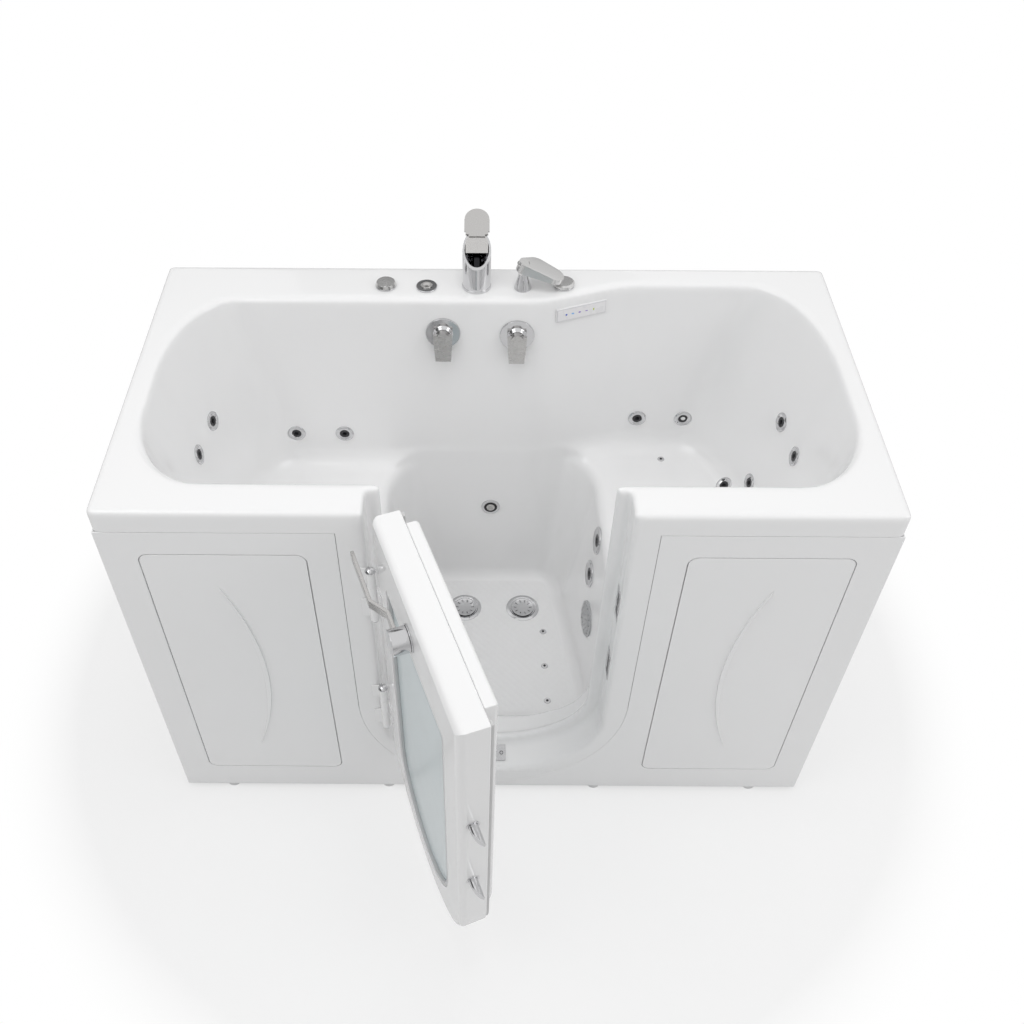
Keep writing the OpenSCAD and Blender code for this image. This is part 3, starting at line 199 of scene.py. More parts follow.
plywood = Finish("boardMaterial", Roughness=0.62)
grain = plywood.noise(14, (1, 7, 30), 5.0)
plywood.set(Base_Color=plywood.tint(grain, (0.58, 0.41, 0.24), (0.38, 0.24, 0.13)))
plywood.bump(grain, 0.15, 0.0005)
materials["board"] = plywood

bead = Finish("weldMaterial", Metallic=1.0, Base_Color=(0.34, 0.34, 0.35), Roughness=0.5)
ripple = bead.node("TexWave", {"bands_direction": "DIAGONAL"}, output=1, Vector=bead.place,
                   Scale=70, Distortion=2)
bead.bump(ripple, 0.6, 0.001)
materials["weld"] = bead

# keypad print colours, the keypad's edge colour, and shadow: a near-black used as painted shade in holes,
# gaps and slots
marks = {"blueMark": (0.03, 0.10, 0.55), "skyMark": (0.25, 0.5, 0.85), "violetMark": (0.22, 0.1, 0.55),
         "limeMark": (0.5, 0.62, 0.05), "edgeMark": (0.66, 0.65, 0.67), "shadow": (0.012, 0.012, 0.014)}
for name, color in marks.items():
    finish = Finish(name + "Material", Base_Color=color, Roughness=0.35)
    finish.bump(finish.noise(120), *fineBump)
    materials[name] = finish
print("materials made")


def only(*objects):
    bpy.ops.object.select_all(action="DESELECT")
    for piece in objects:
        piece.select_set(True)
    bpy.context.view_layer.objects.active = objects[0]


def modify(piece, kind, **settings):
    only(piece)
    modifier = piece.modifiers.new(kind.title(), kind)
    for key, value in settings.items():
        setattr(modifier, key, value)
    bpy.ops.object.modifier_apply(modifier=modifier.name)


def edit(piece, *steps):
    # each step is an operator and its settings, run in edit mode on everything
    only(piece)
    bpy.ops.object.mode_set(mode="EDIT")
    bpy.ops.mesh.select_mode(type="VERT")
    bpy.ops.mesh.select_all(action="SELECT")
    for operator, settings in steps:
        operator(**settings)
    bpy.ops.object.mode_set(mode="OBJECT")


def rounded(piece):
    # smooth shading, with the edges sharper than the angle kept
    only(piece)
    bpy.ops.object.shade_smooth_by_angle(angle=math.radians(35))
    modify(piece, "WEIGHTED_NORMAL", keep_sharp=True)
    return piece


def softEdges(piece, width, angle):
    modify(piece, "BEVEL", width=width * mm, segments=2, limit_method="ANGLE",
           angle_limit=math.radians(angle))


def cut(piece, *cutters):
    for cutter in cutters:
        modify(piece, "BOOLEAN", object=cutter, operation="DIFFERENCE", solver="EXACT")
        bpy.data.objects.remove(cutter)


def dress(piece, body, slot, *nodes, look=None):
    piece.data.materials.clear()
    piece.data.materials.append(materials[look or slot].material)
    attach(piece, body)
    if nodes:
        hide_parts(*nodes)


def bentGrid(name, rows):
    # a flat grid bent through rows of points, closed round each row, with its two ends filled
    bpy.ops.mesh.primitive_grid_add(x_subdivisions=len(rows[0]), y_subdivisions=len(rows) - 1)
    piece = bpy.context.object
    piece.name = name
    points = [point for row in rows for point in (*row, row[0])]
    for vertex, point in zip(piece.data.vertices, points):
        vertex.co = Vector(point) * mm
    edit(piece,
         (bpy.ops.mesh.remove_doubles, {"threshold": 1e-6}),
         (bpy.ops.mesh.select_all, {"action": "DESELECT"}),
         (bpy.ops.mesh.select_non_manifold, {}),
         (bpy.ops.mesh.fill_holes, {"sides": 0}),
         (bpy.ops.mesh.select_all, {"action": "SELECT"}),
         (bpy.ops.mesh.normals_make_consistent, {"inside": False}))
    return piece


def boxOf(name, low, high):
    low, high = Vector(low) * mm, Vector(high) * mm
    bpy.ops.mesh.primitive_cube_add(size=1, location=(low + high) / 2, scale=high - low)
    piece = bpy.context.object
    piece.name = name
    only(piece)
    bpy.ops.object.transform_apply()
    return piece


def copied(node, name):
    # the CAD node's mesh as a piece of its own, its doubled corners and flat edges merged
    piece = bpy.data.objects.new(name, frame["nodes"][node].data.copy())
    bpy.context.collection.objects.link(piece)
    edit(piece,
         (bpy.ops.mesh.remove_doubles, {"threshold": 2e-6}),
         (bpy.ops.mesh.dissolve_limited, {"angle_limit": math.radians(0.6)}))
    return piece


def looseParts(*nodes):
    # a copy of every solid in the nodes
    parts = []
    for node in nodes:
        only(copied(node, "part"))
        bpy.ops.mesh.separate(type="LOOSE")
        parts += bpy.context.selected_objects[:]
    return parts


def joined(name, pieces):
    only(*pieces)
    if len(pieces) > 1:
        bpy.ops.object.join()
    piece = bpy.context.object
    piece.name = name
    return piece


def looseHulls(*nodes):
    # convex hulls of every solid in the nodes, as one cutter
    hulls = looseParts(*nodes)
    for hull in hulls:
        edit(hull, (bpy.ops.mesh.convex_hull, {}))
    return joined("hulls", hulls)


# flat seats round the fittings in the tub's walls: the middle that they face, how far they are cleared
# and how thick a fitting's face is
seat = {"middle": (0, -50, 600), "reach": 15, "face": 3.1}


def outward(fitting):
    # the normal with the largest area, turned towards the tub's middle
    areas = {}
    for polygon in fitting.data.polygons:
        normal = tuple(round(part, 2) for part in polygon.normal)
        areas[normal] = areas.get(normal, 0) + polygon.area
    axis = Vector(max(areas, key=areas.get)).normalized()
    if axis.dot(Vector(seat["middle"]) * mm - fitting.data.vertices[0].co) < 0:
        axis.negate()
    return axis


def seatCutter(*nodes):
    # the face of every fitting drawn out into the tub, so that the cut leaves a flat seat round it
    faces = looseParts(*nodes)
    for face in faces:
        edit(face, (bpy.ops.mesh.convex_hull, {}))
        axis = outward(face)
        top = max(vertex.co.dot(axis) for vertex in face.data.vertices)
        edit(face, (bpy.ops.mesh.select_all, {"action": "DESELECT"}))
        for vertex in face.data.vertices:
            vertex.select = vertex.co.dot(axis) < top - seat["face"] * mm
        only(face)
        bpy.ops.object.mode_set(mode="EDIT")
        bpy.ops.mesh.delete(type="VERT")
        bpy.ops.mesh.select_all(action="SELECT")
        bpy.ops.mesh.duplicate()
        bpy.ops.transform.translate(value=axis * seat["reach"] * mm)
        bpy.ops.mesh.select_all(action="SELECT")
        bpy.ops.mesh.convex_hull()
        bpy.ops.object.mode_set(mode="OBJECT")
    return joined("seats", faces)


def extent(piece):
    # the lowest and the highest corner of its box, in mm
    corners = [vertex.co for vertex in piece.data.vertices]
    return (Vector([pick(corner[i] for corner in corners) for i in range(3)]) / mm for pick in (min, max))


boltSlot = {"near": 2, "far": 27, "deep": 60, "ends": 7}


def boltSlots():
    # the hole in the pocket's wall behind each strike plate
    slots = []
    near, far, ends = boltSlot["near"], boltSlot["far"], boltSlot["ends"]
    for plate in looseParts("strike_plates"):
        low, high = extent(plate)
        corner = (low.x + boltSlot["deep"], low.y + far, high.z - ends)
        slots.append(boxOf("slot", (low.x, low.y + near, low.z + ends), corner))
        bpy.data.objects.remove(plate)
    return joined("slots", slots)


endX, frontY, backY, rimZ = 762, -395, 395, 1010  # the tub's outside, in mm as in the CAD source
pastRim = rimZ + 30
past = 20  # how far a cutter runs past the block


def mix(low, high, share): return low + (high - low) * share
def smooth(share): return share * share * (3 - 2 * share)
def clamp(share): return min(1, max(0, share))


def turns(count, start=0, end=90):
    # sine and cosine at equal steps of angle
    for i in range(count + 1):
        angle = math.radians(mix(start, end, i / count))
        yield math.sin(angle), math.cos(angle)


def arc(cx, cy, rx, ry, start, end, count):
    return [(cx + rx * c, cy + ry * s) for s, c in turns(count, start, end)]


def between(start, end, count):
    # points along a straight line, its ends left out
    return [tuple(mix(a, b, i / count) for a, b in zip(start, end)) for i in range(1, count)]


# basin above the seats: its gaps to the block's sides, the stretch where the deck narrows, how far the
# walls lean from the rim to the seats, and the radii of its corners in plan
basin = {"rimLeft": 49, "rimRight": 42, "rimFront": 85, "deck": 132, "deckRight": 68,
         "narrowFrom": 70, "narrowTo": 335, "narrowSteps": 24,
         "endLean": 113, "backLean": 16, "seatZ": 520, "seatRadius": 54, "rimRadius": 10, "ease": 1.2,
         "backLeft": (134, 250), "backRight": (151, 298), "front": (146, 206), "leastGrowth": -40}
basinFront = frontY + basin["rimFront"]
basinSpan = basin["narrowTo"] - basin["narrowFrom"]


def deckEdge(x):
    share = smooth(clamp((x - basin["narrowFrom"]) / basinSpan))
    return backY - mix(basin["deck"], basin["deckRight"], share)


def depth(z): return (rimZ - z) / (rimZ - basin["seatZ"])
def backWall(x, z): return deckEdge(x) - basin["backLean"] * depth(z)


def basinRing(z, out, leanZ):
    # the basin's outline at one height, moved out by so much
    lean = depth(leanZ)
    left = basin["rimLeft"] - endX + basin["endLean"] * lean - out
    right = endX - basin["rimRight"] - basin["endLean"] * lean + out
    front, shift, grow = basinFront - out, out - basin["backLean"] * lean, max(out, basin["leastGrowth"])

    def bend(side, end, radii, start):
        rx, ry = radii[0] + grow, radii[1] + grow
        cx = right - rx if side > 0 else left + rx
        return arc(cx, end - ry if start < 180 else end + ry, rx, ry, start, start + 90, 28)

    points = bend(1, backY - basin["deckRight"] + shift, basin["backRight"], 0)
    for i in range(basin["narrowSteps"], -1, -1):
        x = basin["narrowFrom"] + basinSpan * i / basin["narrowSteps"]
        points.append((x, deckEdge(x) + shift))
    points += bend(-1, backY - basin["deck"] + shift, basin["backLeft"], 90)
    points += bend(-1, front, basin["front"], 180) + bend(1, front, basin["front"], 270)
    return [(x, y, z) for x, y in points]


def basinCavity():
    radius, rim, ease = basin["seatRadius"], basin["rimRadius"], basin["ease"]
    middle = basin["seatZ"] + radius
    rows = []
    for s, c in turns(10, 90, 0):
        z = middle - radius * s
        rows.append(basinRing(z, ease - radius * (1 - c), z))
    rows += [basinRing(rimZ - rim * (1 - s), ease + rim * (1 - c), rimZ - rim) for s, c in turns(6)]
    return bentGrid("basinCavity", rows + [basinRing(pastRim, ease + rim, rimZ)])


# leg well between the seats: pairs are values at its floor and at the seats
well = {"floorZ": 90, "frontWidth": 243, "backWidth": 190, "seatWidth": 272, "backTaper": 8,
        "radius": 35, "edge": 25, "backY": 225, "frontGap": (54, 5), "nose": (60, 45), "drop": 0.6,
        "squeeze": 108, "backRight": ((60, 100), (110, 150)), "backLeft": ((60, 80), (110, 110))}


def wellRing(z, atZ, wide=0):
    # the well's outline at one height, widened by so much at the sides
    share = min(1, (atZ - well["floorZ"]) / (basin["seatZ"] - well["floorZ"]))
    up = max(0, atZ - basin["seatZ"])
    inward = max(0, well["floorZ"] + well["radius"] - z)
    out = -well["radius"] + math.sqrt(max(0, well["radius"] ** 2 - inward ** 2))
    grow = out + wide
    atFront = mix(well["frontWidth"], well["seatWidth"], share) + grow
    atBack = mix(well["backWidth"], well["seatWidth"] - well["backTaper"], share)
    front = basinFront + mix(*well["frontGap"], share) - out
    nose = mix(*well["nose"], share) + out
    lean = basin["backLean"] * up / (rimZ - basin["seatZ"]) - well["drop"] if up > 0 else 0
    reach = well["seatWidth"] - well["squeeze"]

    def back(x): return mix(well["backY"], backWall(x, basin["seatZ"]), share)

    points = []
    for side, start, radii in ((1, 0, well["backRight"]), (-1, 90, well["backLeft"])):
        rx, ry = (mix(*pair, share) for pair in radii)
        for s, c in turns(24, start, start + 90):
            x = side * (atBack - rx) + (rx + grow) * c
            points.append((x, back(x) - ry + (ry + out) * s + lean))
        if side > 0:
            for i in range(9, -1, -1):
                x = (basin["narrowFrom"] + basinSpan * i / 27) * (atBack - rx) / reach
                points.append((x, back(x) + out + lean))
    noses = [arc(side * (atFront - nose - wide), front + nose, nose + wide, nose, start, start + 90, 16)
             for side, start in ((-1, 180), (1, 270))]
    points += between(points[-1], noses[0][0], 24) + noses[0] + noses[1]
    points += between(noses[1][-1], points[0], 24)
    return [(x, y, z) for x, y in points]


def wellCavity():
    middle, edge = well["floorZ"] + well["radius"], basin["seatZ"] - well["edge"]
    levels = [middle - well["radius"] * s for s, c in turns(8, 90, 0)]
    levels += [mix(middle, edge, i / 12) for i in range(1, 12)]
    rows = [wellRing(z, z) for z in levels]
    for s, c in turns(8):
        z = edge + well["edge"] * s
        rows.append(wellRing(z, z, well["edge"] * (1 - c)))
    top = basin["seatZ"] + basin["seatRadius"] + 3
    return bentGrid("wellCavity", rows + [wellRing(top, top, well["edge"])])


# doorway with the pocket that the door closes into; the surround is its half width, the height where its
# curve starts and its lowest point
doorway = {"surround": (305, 370, 36), "pocketWidth": 250, "pocketDepth": 64, "pocketLow": 90,
           "pocketRise": 20, "wayWidth": 222, "sillZ": 130, "wayDepth": 21, "flare": 14, "curveZ": 305,
           "ease": 1.2}


def bow(*slices):
    # solid with a U outline: each slice is its y, half width, where the curve starts and lowest point
    rows = []
    for y, width, curveZ, low in slices:
        outline = [(-width, pastRim), *arc(0, curveZ, width, curveZ - low, 180, 360, 72), (width, pastRim)]
        rows.append([(x, y, z) for x, z in outline])
    return bentGrid("bow", rows)


def pocketCavity():
    slope, ease = doorway["pocketRise"] / doorway["pocketDepth"], doorway["ease"]
    width, low = doorway["pocketWidth"] + ease, doorway["pocketLow"] - ease
    ends = (frontY - 30, frontY + doorway["pocketDepth"] + ease)
    return bow(*[(y, width, doorway["curveZ"], low + slope * (y - frontY)) for y in ends])


def wayCavity():
    inner, flare = frontY + doorway["pocketDepth"] + doorway["wayDepth"], doorway["flare"]
    grown = [(frontY + past, 0)] + [(inner - flare * (1 - s), flare * (1 - c)) for s, c in turns(8)]
    grown.append((basinFront + 4 * past, flare))
    return bow(*[(y, doorway["wayWidth"] + g, doorway["curveZ"], doorway["sillZ"] - g) for y, g in grown])


def inSurround(x, z, grow):
    width, curveZ, low = doorway["surround"]
    if z > curveZ:
        return abs(x) < width + grow
    return (x / (width + grow)) ** 2 + ((curveZ - z) / (curveZ - low + grow)) ** 2 < 1


# tub shell: the cavities cut from a block, its edges softened, then only its visible skin kept at wall
# thickness
shell = {"voxel": 5.5, "softness": 10, "keep": 0.3, "wall": 8, "lip": 53,
         "cornerRadius": 12, "skin": 14, "bottom": 10, "margin": 12, "apron": 12}
lipZ = rimZ - shell["lip"]


def blockRing(z):
    r = shell["cornerRadius"]
    corners = ((1, 1, 0), (-1, 1, 90), (-1, -1, 180), (1, -1, 270))
    return [(x, y, z) for sx, sy, start in corners
            for x, y in arc(sx * (endX - r), sy * (backY - r), r, r, start, start + 90, 6)]


def dropHiddenFaces(mass):
    # the block's outer faces below the lip, which the skirts and the frame cover
    skin = shell["skin"]
    only(mass)
    bpy.ops.object.mode_set(mode="EDIT")
    bpy.ops.mesh.select_mode(type="FACE")
    bpy.ops.object.mode_set(mode="OBJECT")
    for polygon in mass.data.polygons:
        x, y, z = polygon.center / mm
        front = y < frontY + skin and not inSurround(x, z, shell["margin"])
        hidden = abs(x) > endX - skin or y > backY - skin or front or z < shell["bottom"]
        polygon.select = z < lipZ and hidden
    bpy.ops.object.mode_set(mode="EDIT")
    bpy.ops.mesh.delete(type="FACE")
    bpy.ops.object.mode_set(mode="OBJECT")


def tubShell():
    mass = bentGrid("tubShell", [blockRing(-past), blockRing(rimZ)])
    cut(mass, basinCavity(), wellCavity(), pocketCavity(), wayCavity())
    modify(mass, "REMESH", mode="VOXEL", voxel_size=shell["voxel"] * mm)
    modify(mass, "SMOOTH", factor=0.5, iterations=shell["softness"])
    edit(mass, (bpy.ops.mesh.bisect, {"plane_co": (0, 0, lipZ * mm), "plane_no": (0, 0, 1)}))
    dropHiddenFaces(mass)
    modify(mass, "DECIMATE", decimate_type="COLLAPSE", ratio=shell["keep"])
    modify(mass, "SOLIDIFY", thickness=shell["wall"] * mm, offset=-1, use_even_offset=True)
    # in front, only the door's surround stays below the lip
    apron = boxOf("apron", (-endX - past, frontY - past, -2 * past),
                  (endX + past, frontY + shell["apron"], lipZ))
    cut(apron, bow(*[(frontY + side * 2 * past, *doorway["surround"]) for side in (-1, 1)]))
    cut(mass, apron)
    cut(mass, seatCutter("jet_rings", "overflow_fitting", "suction_covers", "drain_handle_plates"),
        seatCutter("jet_nozzles"), boltSlots())
    cut(mass, looseHulls("jet_nozzles", "air_jets", "suction_covers", "overflow_fitting", "drain_bodies",
                         "drain_handle_plates", "strike_plates"))
    dress(rounded(mass), "tub", "acrylic", "tub_shell")


tubShell()
print("shell made")

# every other node as a softened copy, on its own body and slot
record = frame["record"]
slotOf = {part["node"]: part["material_slot"] for part in record["subparts"]}
bodyOf = {node: body for body, nodes in record["behaviour"]["bodies"].items() for node in nodes}


def camel(node):
    first, *rest = node.split("_")
    return first + "".join(word.title() for word in rest)


def softened(node, width):
    piece = copied(node, camel(node))
    if width:
        softEdges(piece, width, 40)
    dress(rounded(piece), bodyOf[node], slotOf[node], node, look=looks.get(node))


# width of each node's softened edges, in mm
bevels = {
    "left_end_skirt": 1.5, "right_end_skirt": 1.5, "left_access_panel": 1.2,
    "right_access_panel": 1.2, "front_skirt": 1, "panel_catches": 0.5, "long_frame_bars": 2,
    "cross_frame_bars": 2, "frame_uprights": 2, "levelling_feet": 1, "foot_lock_nuts": 0.8,
    "equipment_boards": 1, "jamb_hinge_knuckles": 1.5, "hinge_pins": 1, "strike_plates": 0.4,
    "sill_plate": 0.4, "door_panel": 2, "door_liner": 2, "door_window": 0.6, "window_bezel": 1,
    "door_seal": 1, "door_hinge_leaves": 1.5, "lever_rose": 1, "lever_hub": 1.5, "lever_arm": 1.5,
    "latch_drive_bar": 0.5, "upper_latch_bolt": 1, "lower_latch_bolt": 1, "latch_bolt_guides": 0.8,
    "mixer_body": 1.5, "mixer_cartridge": 1, "mixer_lever": 1.2, "mixer_supply_tails": 0.5,
    "shower_holder": 1, "hand_shower": 1.5, "deck_bezels": 1, "air_control_knob": 1.2,
    "push_button": 1, "diverter_knob": 1.2, "control_keypad": 0.8, "drain_handle_plates": 1,
    "left_drain_handle": 1.2, "right_drain_handle": 1.2, "drain_cables": 0, "drain_bodies": 0.8,
    "overflow_fitting": 0.8, "waste_pipes": 0.6, "jet_rings": 0.6, "jet_nozzles": 0.4,
    "air_jets": 0.4, "suction_covers": 0.8, "jet_pump": 2, "air_blower": 2, "control_box": 2,
    "water_pipes": 0.6, "air_pipes": 0.6,
}
looks = {"air_control_knob": "soft_metal", "diverter_knob": "soft_metal", "hand_shower": "soft_metal",
         "mixer_cartridge": "smoke"}  # finishes that differ from the slot's own
for node in frame["nodes"]:
    if node in bevels:
        softened(node, bevels[node])


def turned(name, profile, count=48):
    # solid turned about Z from radius and height pairs, bottom first
    return bentGrid(name, [[(r * c, r * s, z) for s, c in turns(count, 0, 360)][:-1] for r, z in profile])


def moved(x, y, z): return Matrix.Translation(Vector((x, y, z)) * mm)


def spokes(count):
    # matrices that turn about Z in equal steps
    return [Matrix(((c, -s, 0, 0), (s, c, 0, 0), (0, 0, 1, 0), (0, 0, 0, 1)))
            for s, c in list(turns(count, 0, 360))[:-1]]


def seated(place, normal):
    # local +Z out along the normal, local +X level
    out = Vector(normal).normalized()
    level = Vector((0, 0, 1)).cross(out)
    level = level.normalized() if level.length > 0.01 else Vector((1, 0, 0))
    matrix = Matrix((level, out.cross(level), out)).transposed().to_4x4()
    matrix.translation = Vector(place) * mm
    return matrix


def placed(piece, matrix):
    only(piece)
    piece.matrix_world = matrix @ piece.matrix_world
    bpy.ops.object.transform_apply()
    return piece


def nodeBox(node):
    # the node's lowest and highest corner, in mm
    return (Vector(corner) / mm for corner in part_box(node))


def topOf(node, matrix):
    # how far the node stands out along the matrix's Z, in mm
    inverse = matrix.inverted()
    return max((inverse @ vertex.co).z for vertex in frame["nodes"][node].data.vertices) / mm


# drain covers: dished, on a stem, with a ring of slots
drain = {"spots": {"left": (-72, 108), "right": (88, 108)}, "slots": 10, "slotRadius": 21,
         "slotSize": (8, 1.8),
         "profile": [(0, -22), (4, -22), (4, 1.5), (20, 1.8), (30, 3.4), (31, 5), (30.4, 6.2), (29, 6.5),
                     (27, 5.8), (22, 3.9), (12, 2.9), (0, 2.6)]}
for side, (x, y) in drain["spots"].items():
    cover = turned(side + "DrainCover", drain["profile"], 64)
    length, width = drain["slotSize"]
    slots = [placed(boxOf("slot", (-length / 2, -width / 2, 1), (length / 2, width / 2, 9)),
                    turn @ moved(drain["slotRadius"], 0, 0)) for turn in spokes(drain["slots"])]
    cut(cover, joined("slots", slots))
    softEdges(cover, 0.3, 50)
    placed(cover, moved(x, y, well["floorZ"]))
    dress(rounded(cover), side + "_cover", "chrome", side + "_drain_cover")

# painted shade: dark discs on the air jets' tops, standing in for the shade in their holes
airJets = {"floor": ((142, 27), (142, -86), (145, -195)), "seats": ((-437, 220), (434, 262)),
           "hole": 3.4, "reach": 14, "deep": 2, "proud": 0.15}
spots = [(side * x, y, well["floorZ"]) for side in (-1, 1) for x, y in airJets["floor"]]
spots += [(x, y, basin["seatZ"]) for x, y in airJets["seats"]]
holes = []
for spot in spots:
    top = max(vertex.co.z for vertex in frame["nodes"]["air_jets"].data.vertices
              if (vertex.co / mm - Vector(spot)).length < airJets["reach"]) / mm - spot[2]
    low, high, radius = top - airJets["deep"], top + airJets["proud"], airJets["hole"]
    hole = turned("hole", [(0, low), (radius, low), (radius, high), (0, high)], 24)
    holes.append(placed(hole, seated(spot, (0, 0, 1))))
dress(joined("airJetHoles", holes), "tub", "dark_plastic", look="shadow")


def wellBackAt(z):
    share = (z - well["floorZ"]) / (basin["seatZ"] - well["floorZ"])
    return mix(well["backY"], backWall(0, basin["seatZ"]), share)


# overflow on the well's back wall: a slotted grate in a ring of painted shade standing for the gap round
# it
overflow = {"x": -4, "z": 362, "grate": 11, "gap": 17.5, "inner": 10, "height": 3,
            "slots": (-5.4, -1.8, 1.8, 5.4), "slotSize": (12, 1)}
z = overflow["z"]
onBack = seated((overflow["x"], wellBackAt(z), z), (0, -2, wellBackAt(z + 1) - wellBackAt(z - 1)))
radius, gap, inner = overflow["grate"], overflow["gap"], overflow["inner"]
top = topOf("overflow_fitting", onBack)
# painted shade: a near-black flat ring between the grate and the flange, for the shade in the gap
ring = turned("overflowGap", [(0, -6), (inner, -6), (inner, top - 1), (gap, top - 1), (gap, top + 0.2),
                              (0, top + 0.2)])
dress(placed(ring, onBack), "tub", "satin_metal", look="shadow")
face = top + overflow["height"]
grate = turned("overflowGrate", [(0, top), (radius, top), (radius, face - 1.4),
                                 (radius - 1, face - 0.4), (0, face)])
length, width = overflow["slotSize"]
slots = [boxOf("slot", (-length / 2, at - width / 2, face - 1.6), (length / 2, at + width / 2, face + 1))
         for at in overflow["slots"]]
cut(grate, joined("slots", slots))
dress(rounded(placed(grate, onBack)), "tub", "satin_metal")

# keypad with a border and five plain coloured marks, each with its place and its size
keypad = {"x": 197, "z": 963, "size": (121, 31), "border": 1.2, "proud": 0.8,
          "borderZ": (-2.5, 0.15), "faceZ": (-0.5, 0.3),
          "marks": (("blueMark", -38, 2.4, 2.4), ("skyMark", -22, 3.6, 2.0), ("violetMark", -5, 3.2, 1.6),
                    ("violetMark", 12, 3.6, 0.9), ("limeMark", 30, 1.6, 3.2))}
x, z = keypad["x"], keypad["z"]
lean = (backWall(x + 1, z) - backWall(x - 1, z), -2, backWall(x, z + 1) - backWall(x, z - 1))
onWall = seated((x, backWall(x, z), z), lean)
onKeypad = onWall @ moved(0, 0, topOf("control_keypad", onWall) + keypad["proud"])
wide, tall = (size / 2 for size in keypad["size"])
low, high = keypad["borderZ"]
border = boxOf("keypadBorder", (-wide, -tall, low), (wide, tall, high))
dress(placed(border, onKeypad), "tub", "keypad", look="edgeMark")
wide, tall = wide - keypad["border"], tall - keypad["border"]
low, high = keypad["faceZ"]
face = boxOf("keypadFace", (-wide, -tall, low), (wide, tall, high))
dress(placed(face, onKeypad), "tub", "keypad")
for i, (look, across, wide, tall) in enumerate(keypad["marks"]):
    mark = turned("keypadMark%d" % i, [(0, 0.2), (1, 0.2), (1, 0.5), (0.9, 0.6), (0, 0.6)], 32)
    placed(mark, moved(across, 0, 0) @ Matrix.Diagonal((wide, tall, 1, 1)))
    dress(placed(mark, onKeypad), "tub", "keypad", look=look)

screw = {"sunk": 1.5, "shoulder": 0.2, "edge": 0.9, "top": 1.1, "crown": 0.75, "arm": 0.6,
         "armWidth": 0.35, "crossAt": 0.4}


def screwHead(name, radius=3.2):
    # a low domed head with a crossed recess
    head = turned(name, [(0, -screw["sunk"]), (radius, -screw["sunk"]), (radius, screw["shoulder"]),
                         (radius * screw["crown"], screw["edge"]), (0, screw["top"])], 32)
    arm, width, bottom = radius * screw["arm"], screw["armWidth"], screw["crossAt"]
    for x, y in ((arm, width), (width, arm)):
        cut(head, boxOf("cross", (-x, -y, bottom), (x, y, 2)))
    return rounded(head)


# sill plate: a screw in its right hole over a ring of painted shade, its other two holes dark with painted
# shade; each hole's place with the radius and top of its painted shade disc
sill = {"holes": {-19: (3.3, -0.5), 0: (1.2, 0.2), 19: (4.8, 0.2)}, "middle": 19.5, "screw": (19, 3.4)}
slope = doorway["pocketRise"] / doorway["pocketDepth"]
low, high = nodeBox("sill_plate")
middle = ((low.x + high.x) / 2, high.y - sill["middle"], high.z - sill["middle"] * slope)
onPlate = seated(middle, (0, -slope, 1))
for i, (across, (radius, top)) in enumerate(sill["holes"].items()):
    # painted shade: a near-black disc in each hole
    hole = turned("sillHole%d" % i, [(0, -1.2), (radius, -1.2), (radius, top), (0, top)], 32)
    dress(placed(hole, onPlate @ moved(across, 0, 0)), "tub", "steel", look="shadow")
across, radius = sill["screw"]
dress(placed(screwHead("sillScrew", radius), onPlate @ moved(across, 0, 0)), "tub", "steel")

# jet pump: cooling fins round the motor, bolts on the wet end's flange
pump = {"place": (480, 20, 179), "fins": 11, "firstFin": 40, "finPitch": 11, "finRadii": (60, 69),
        "finHalf": 1.4, "bolts": 8, "boltCircle": 66, "boltRadius": 4.5, "boltEnds": (-64, -60)}
pumpAxis = moved(*pump["place"]) @ Matrix.Rotation(math.radians(90), 4, "Y")
inner, outer = pump["finRadii"]
fins = []
for i in range(pump["fins"]):
    at = pump["firstFin"] + pump["finPitch"] * i
    low, high = at - pump["finHalf"], at + pump["finHalf"]
    fin = turned("fin", [(inner, low), (outer - 1, low), (outer, at), (outer - 1, high), (inner, high)])
    fins.append(placed(fin, pumpAxis))
dress(rounded(joined("pumpFins", fins)), "tub", "pump_body")
low, high = pump["boltEnds"]
bolts = []
for turn in spokes(pump["bolts"]):
    bolt = turned("bolt", [(0, low), (pump["boltRadius"], low), (pump["boltRadius"], high), (0, high)], 6)
    spot = Matrix.Translation(turn @ Vector((0, pump["boltCircle"], 0)) * mm)
    bolts.append(placed(bolt, pumpAxis @ spot))
dress(joined("pumpBolts", bolts), "tub", "pump_body", look="steel")

# air blower: thin dark sheets round the top as painted shade for vent slots, a steel band round the body
blower = {"slots": 18, "slotWidth": 5, "slotEnds": (140, 166), "slotFaces": (54.6, 55.3),
          "band": [(89, 54), (91, 55), (91, 65), (89, 66)]}
low, high = nodeBox("air_blower")
onBlower = moved((low.x + high.x) / 2, high.y - (high.x - low.x) / 2, low.z)
half, (bottom, top), (inner, outer) = blower["slotWidth"] / 2, blower["slotEnds"], blower["slotFaces"]
# painted shade: near-black sheets on the blower's side where shaded vent slots would be
slots = [placed(boxOf("slot", (inner, -half, bottom), (outer, half, top)), onBlower @ turn)
         for turn in spokes(blower["slots"])]
dress(joined("blowerSlots", slots), "tub", "dark_plastic", look="shadow")
band = turned("blowerBand", blower["band"], 72)
dress(rounded(placed(band, onBlower)), "tub", "dark_plastic", look="steel")

# control box: a lid with a screw in each corner
lid = {"thickness": 3, "edge": 5, "backEdge": 23, "screwIn": 9}
low, high = nodeBox("control_box")
front = low.x - lid["thickness"]
y0, y1, z0, z1 = low.y + lid["edge"], high.y - lid["backEdge"], low.z + lid["edge"], high.z - lid["edge"]
plate = boxOf("controlLid", (front, y0, z0), (low.x + 1, y1, z1))
modify(plate, "BEVEL", width=1.5 * mm, segments=2)
dress(rounded(plate), "tub", "dark_plastic", look="grey_plastic")
inset = lid["screwIn"]
heads = [placed(screwHead("lidScrew"), seated((front, y, z), (-1, 0, 0)))
         for y in (y0 + inset, y1 - inset) for z in (z0 + inset, z1 - inset)]
dress(joined("lidScrews", heads), "tub", "dark_plastic", look="steel")

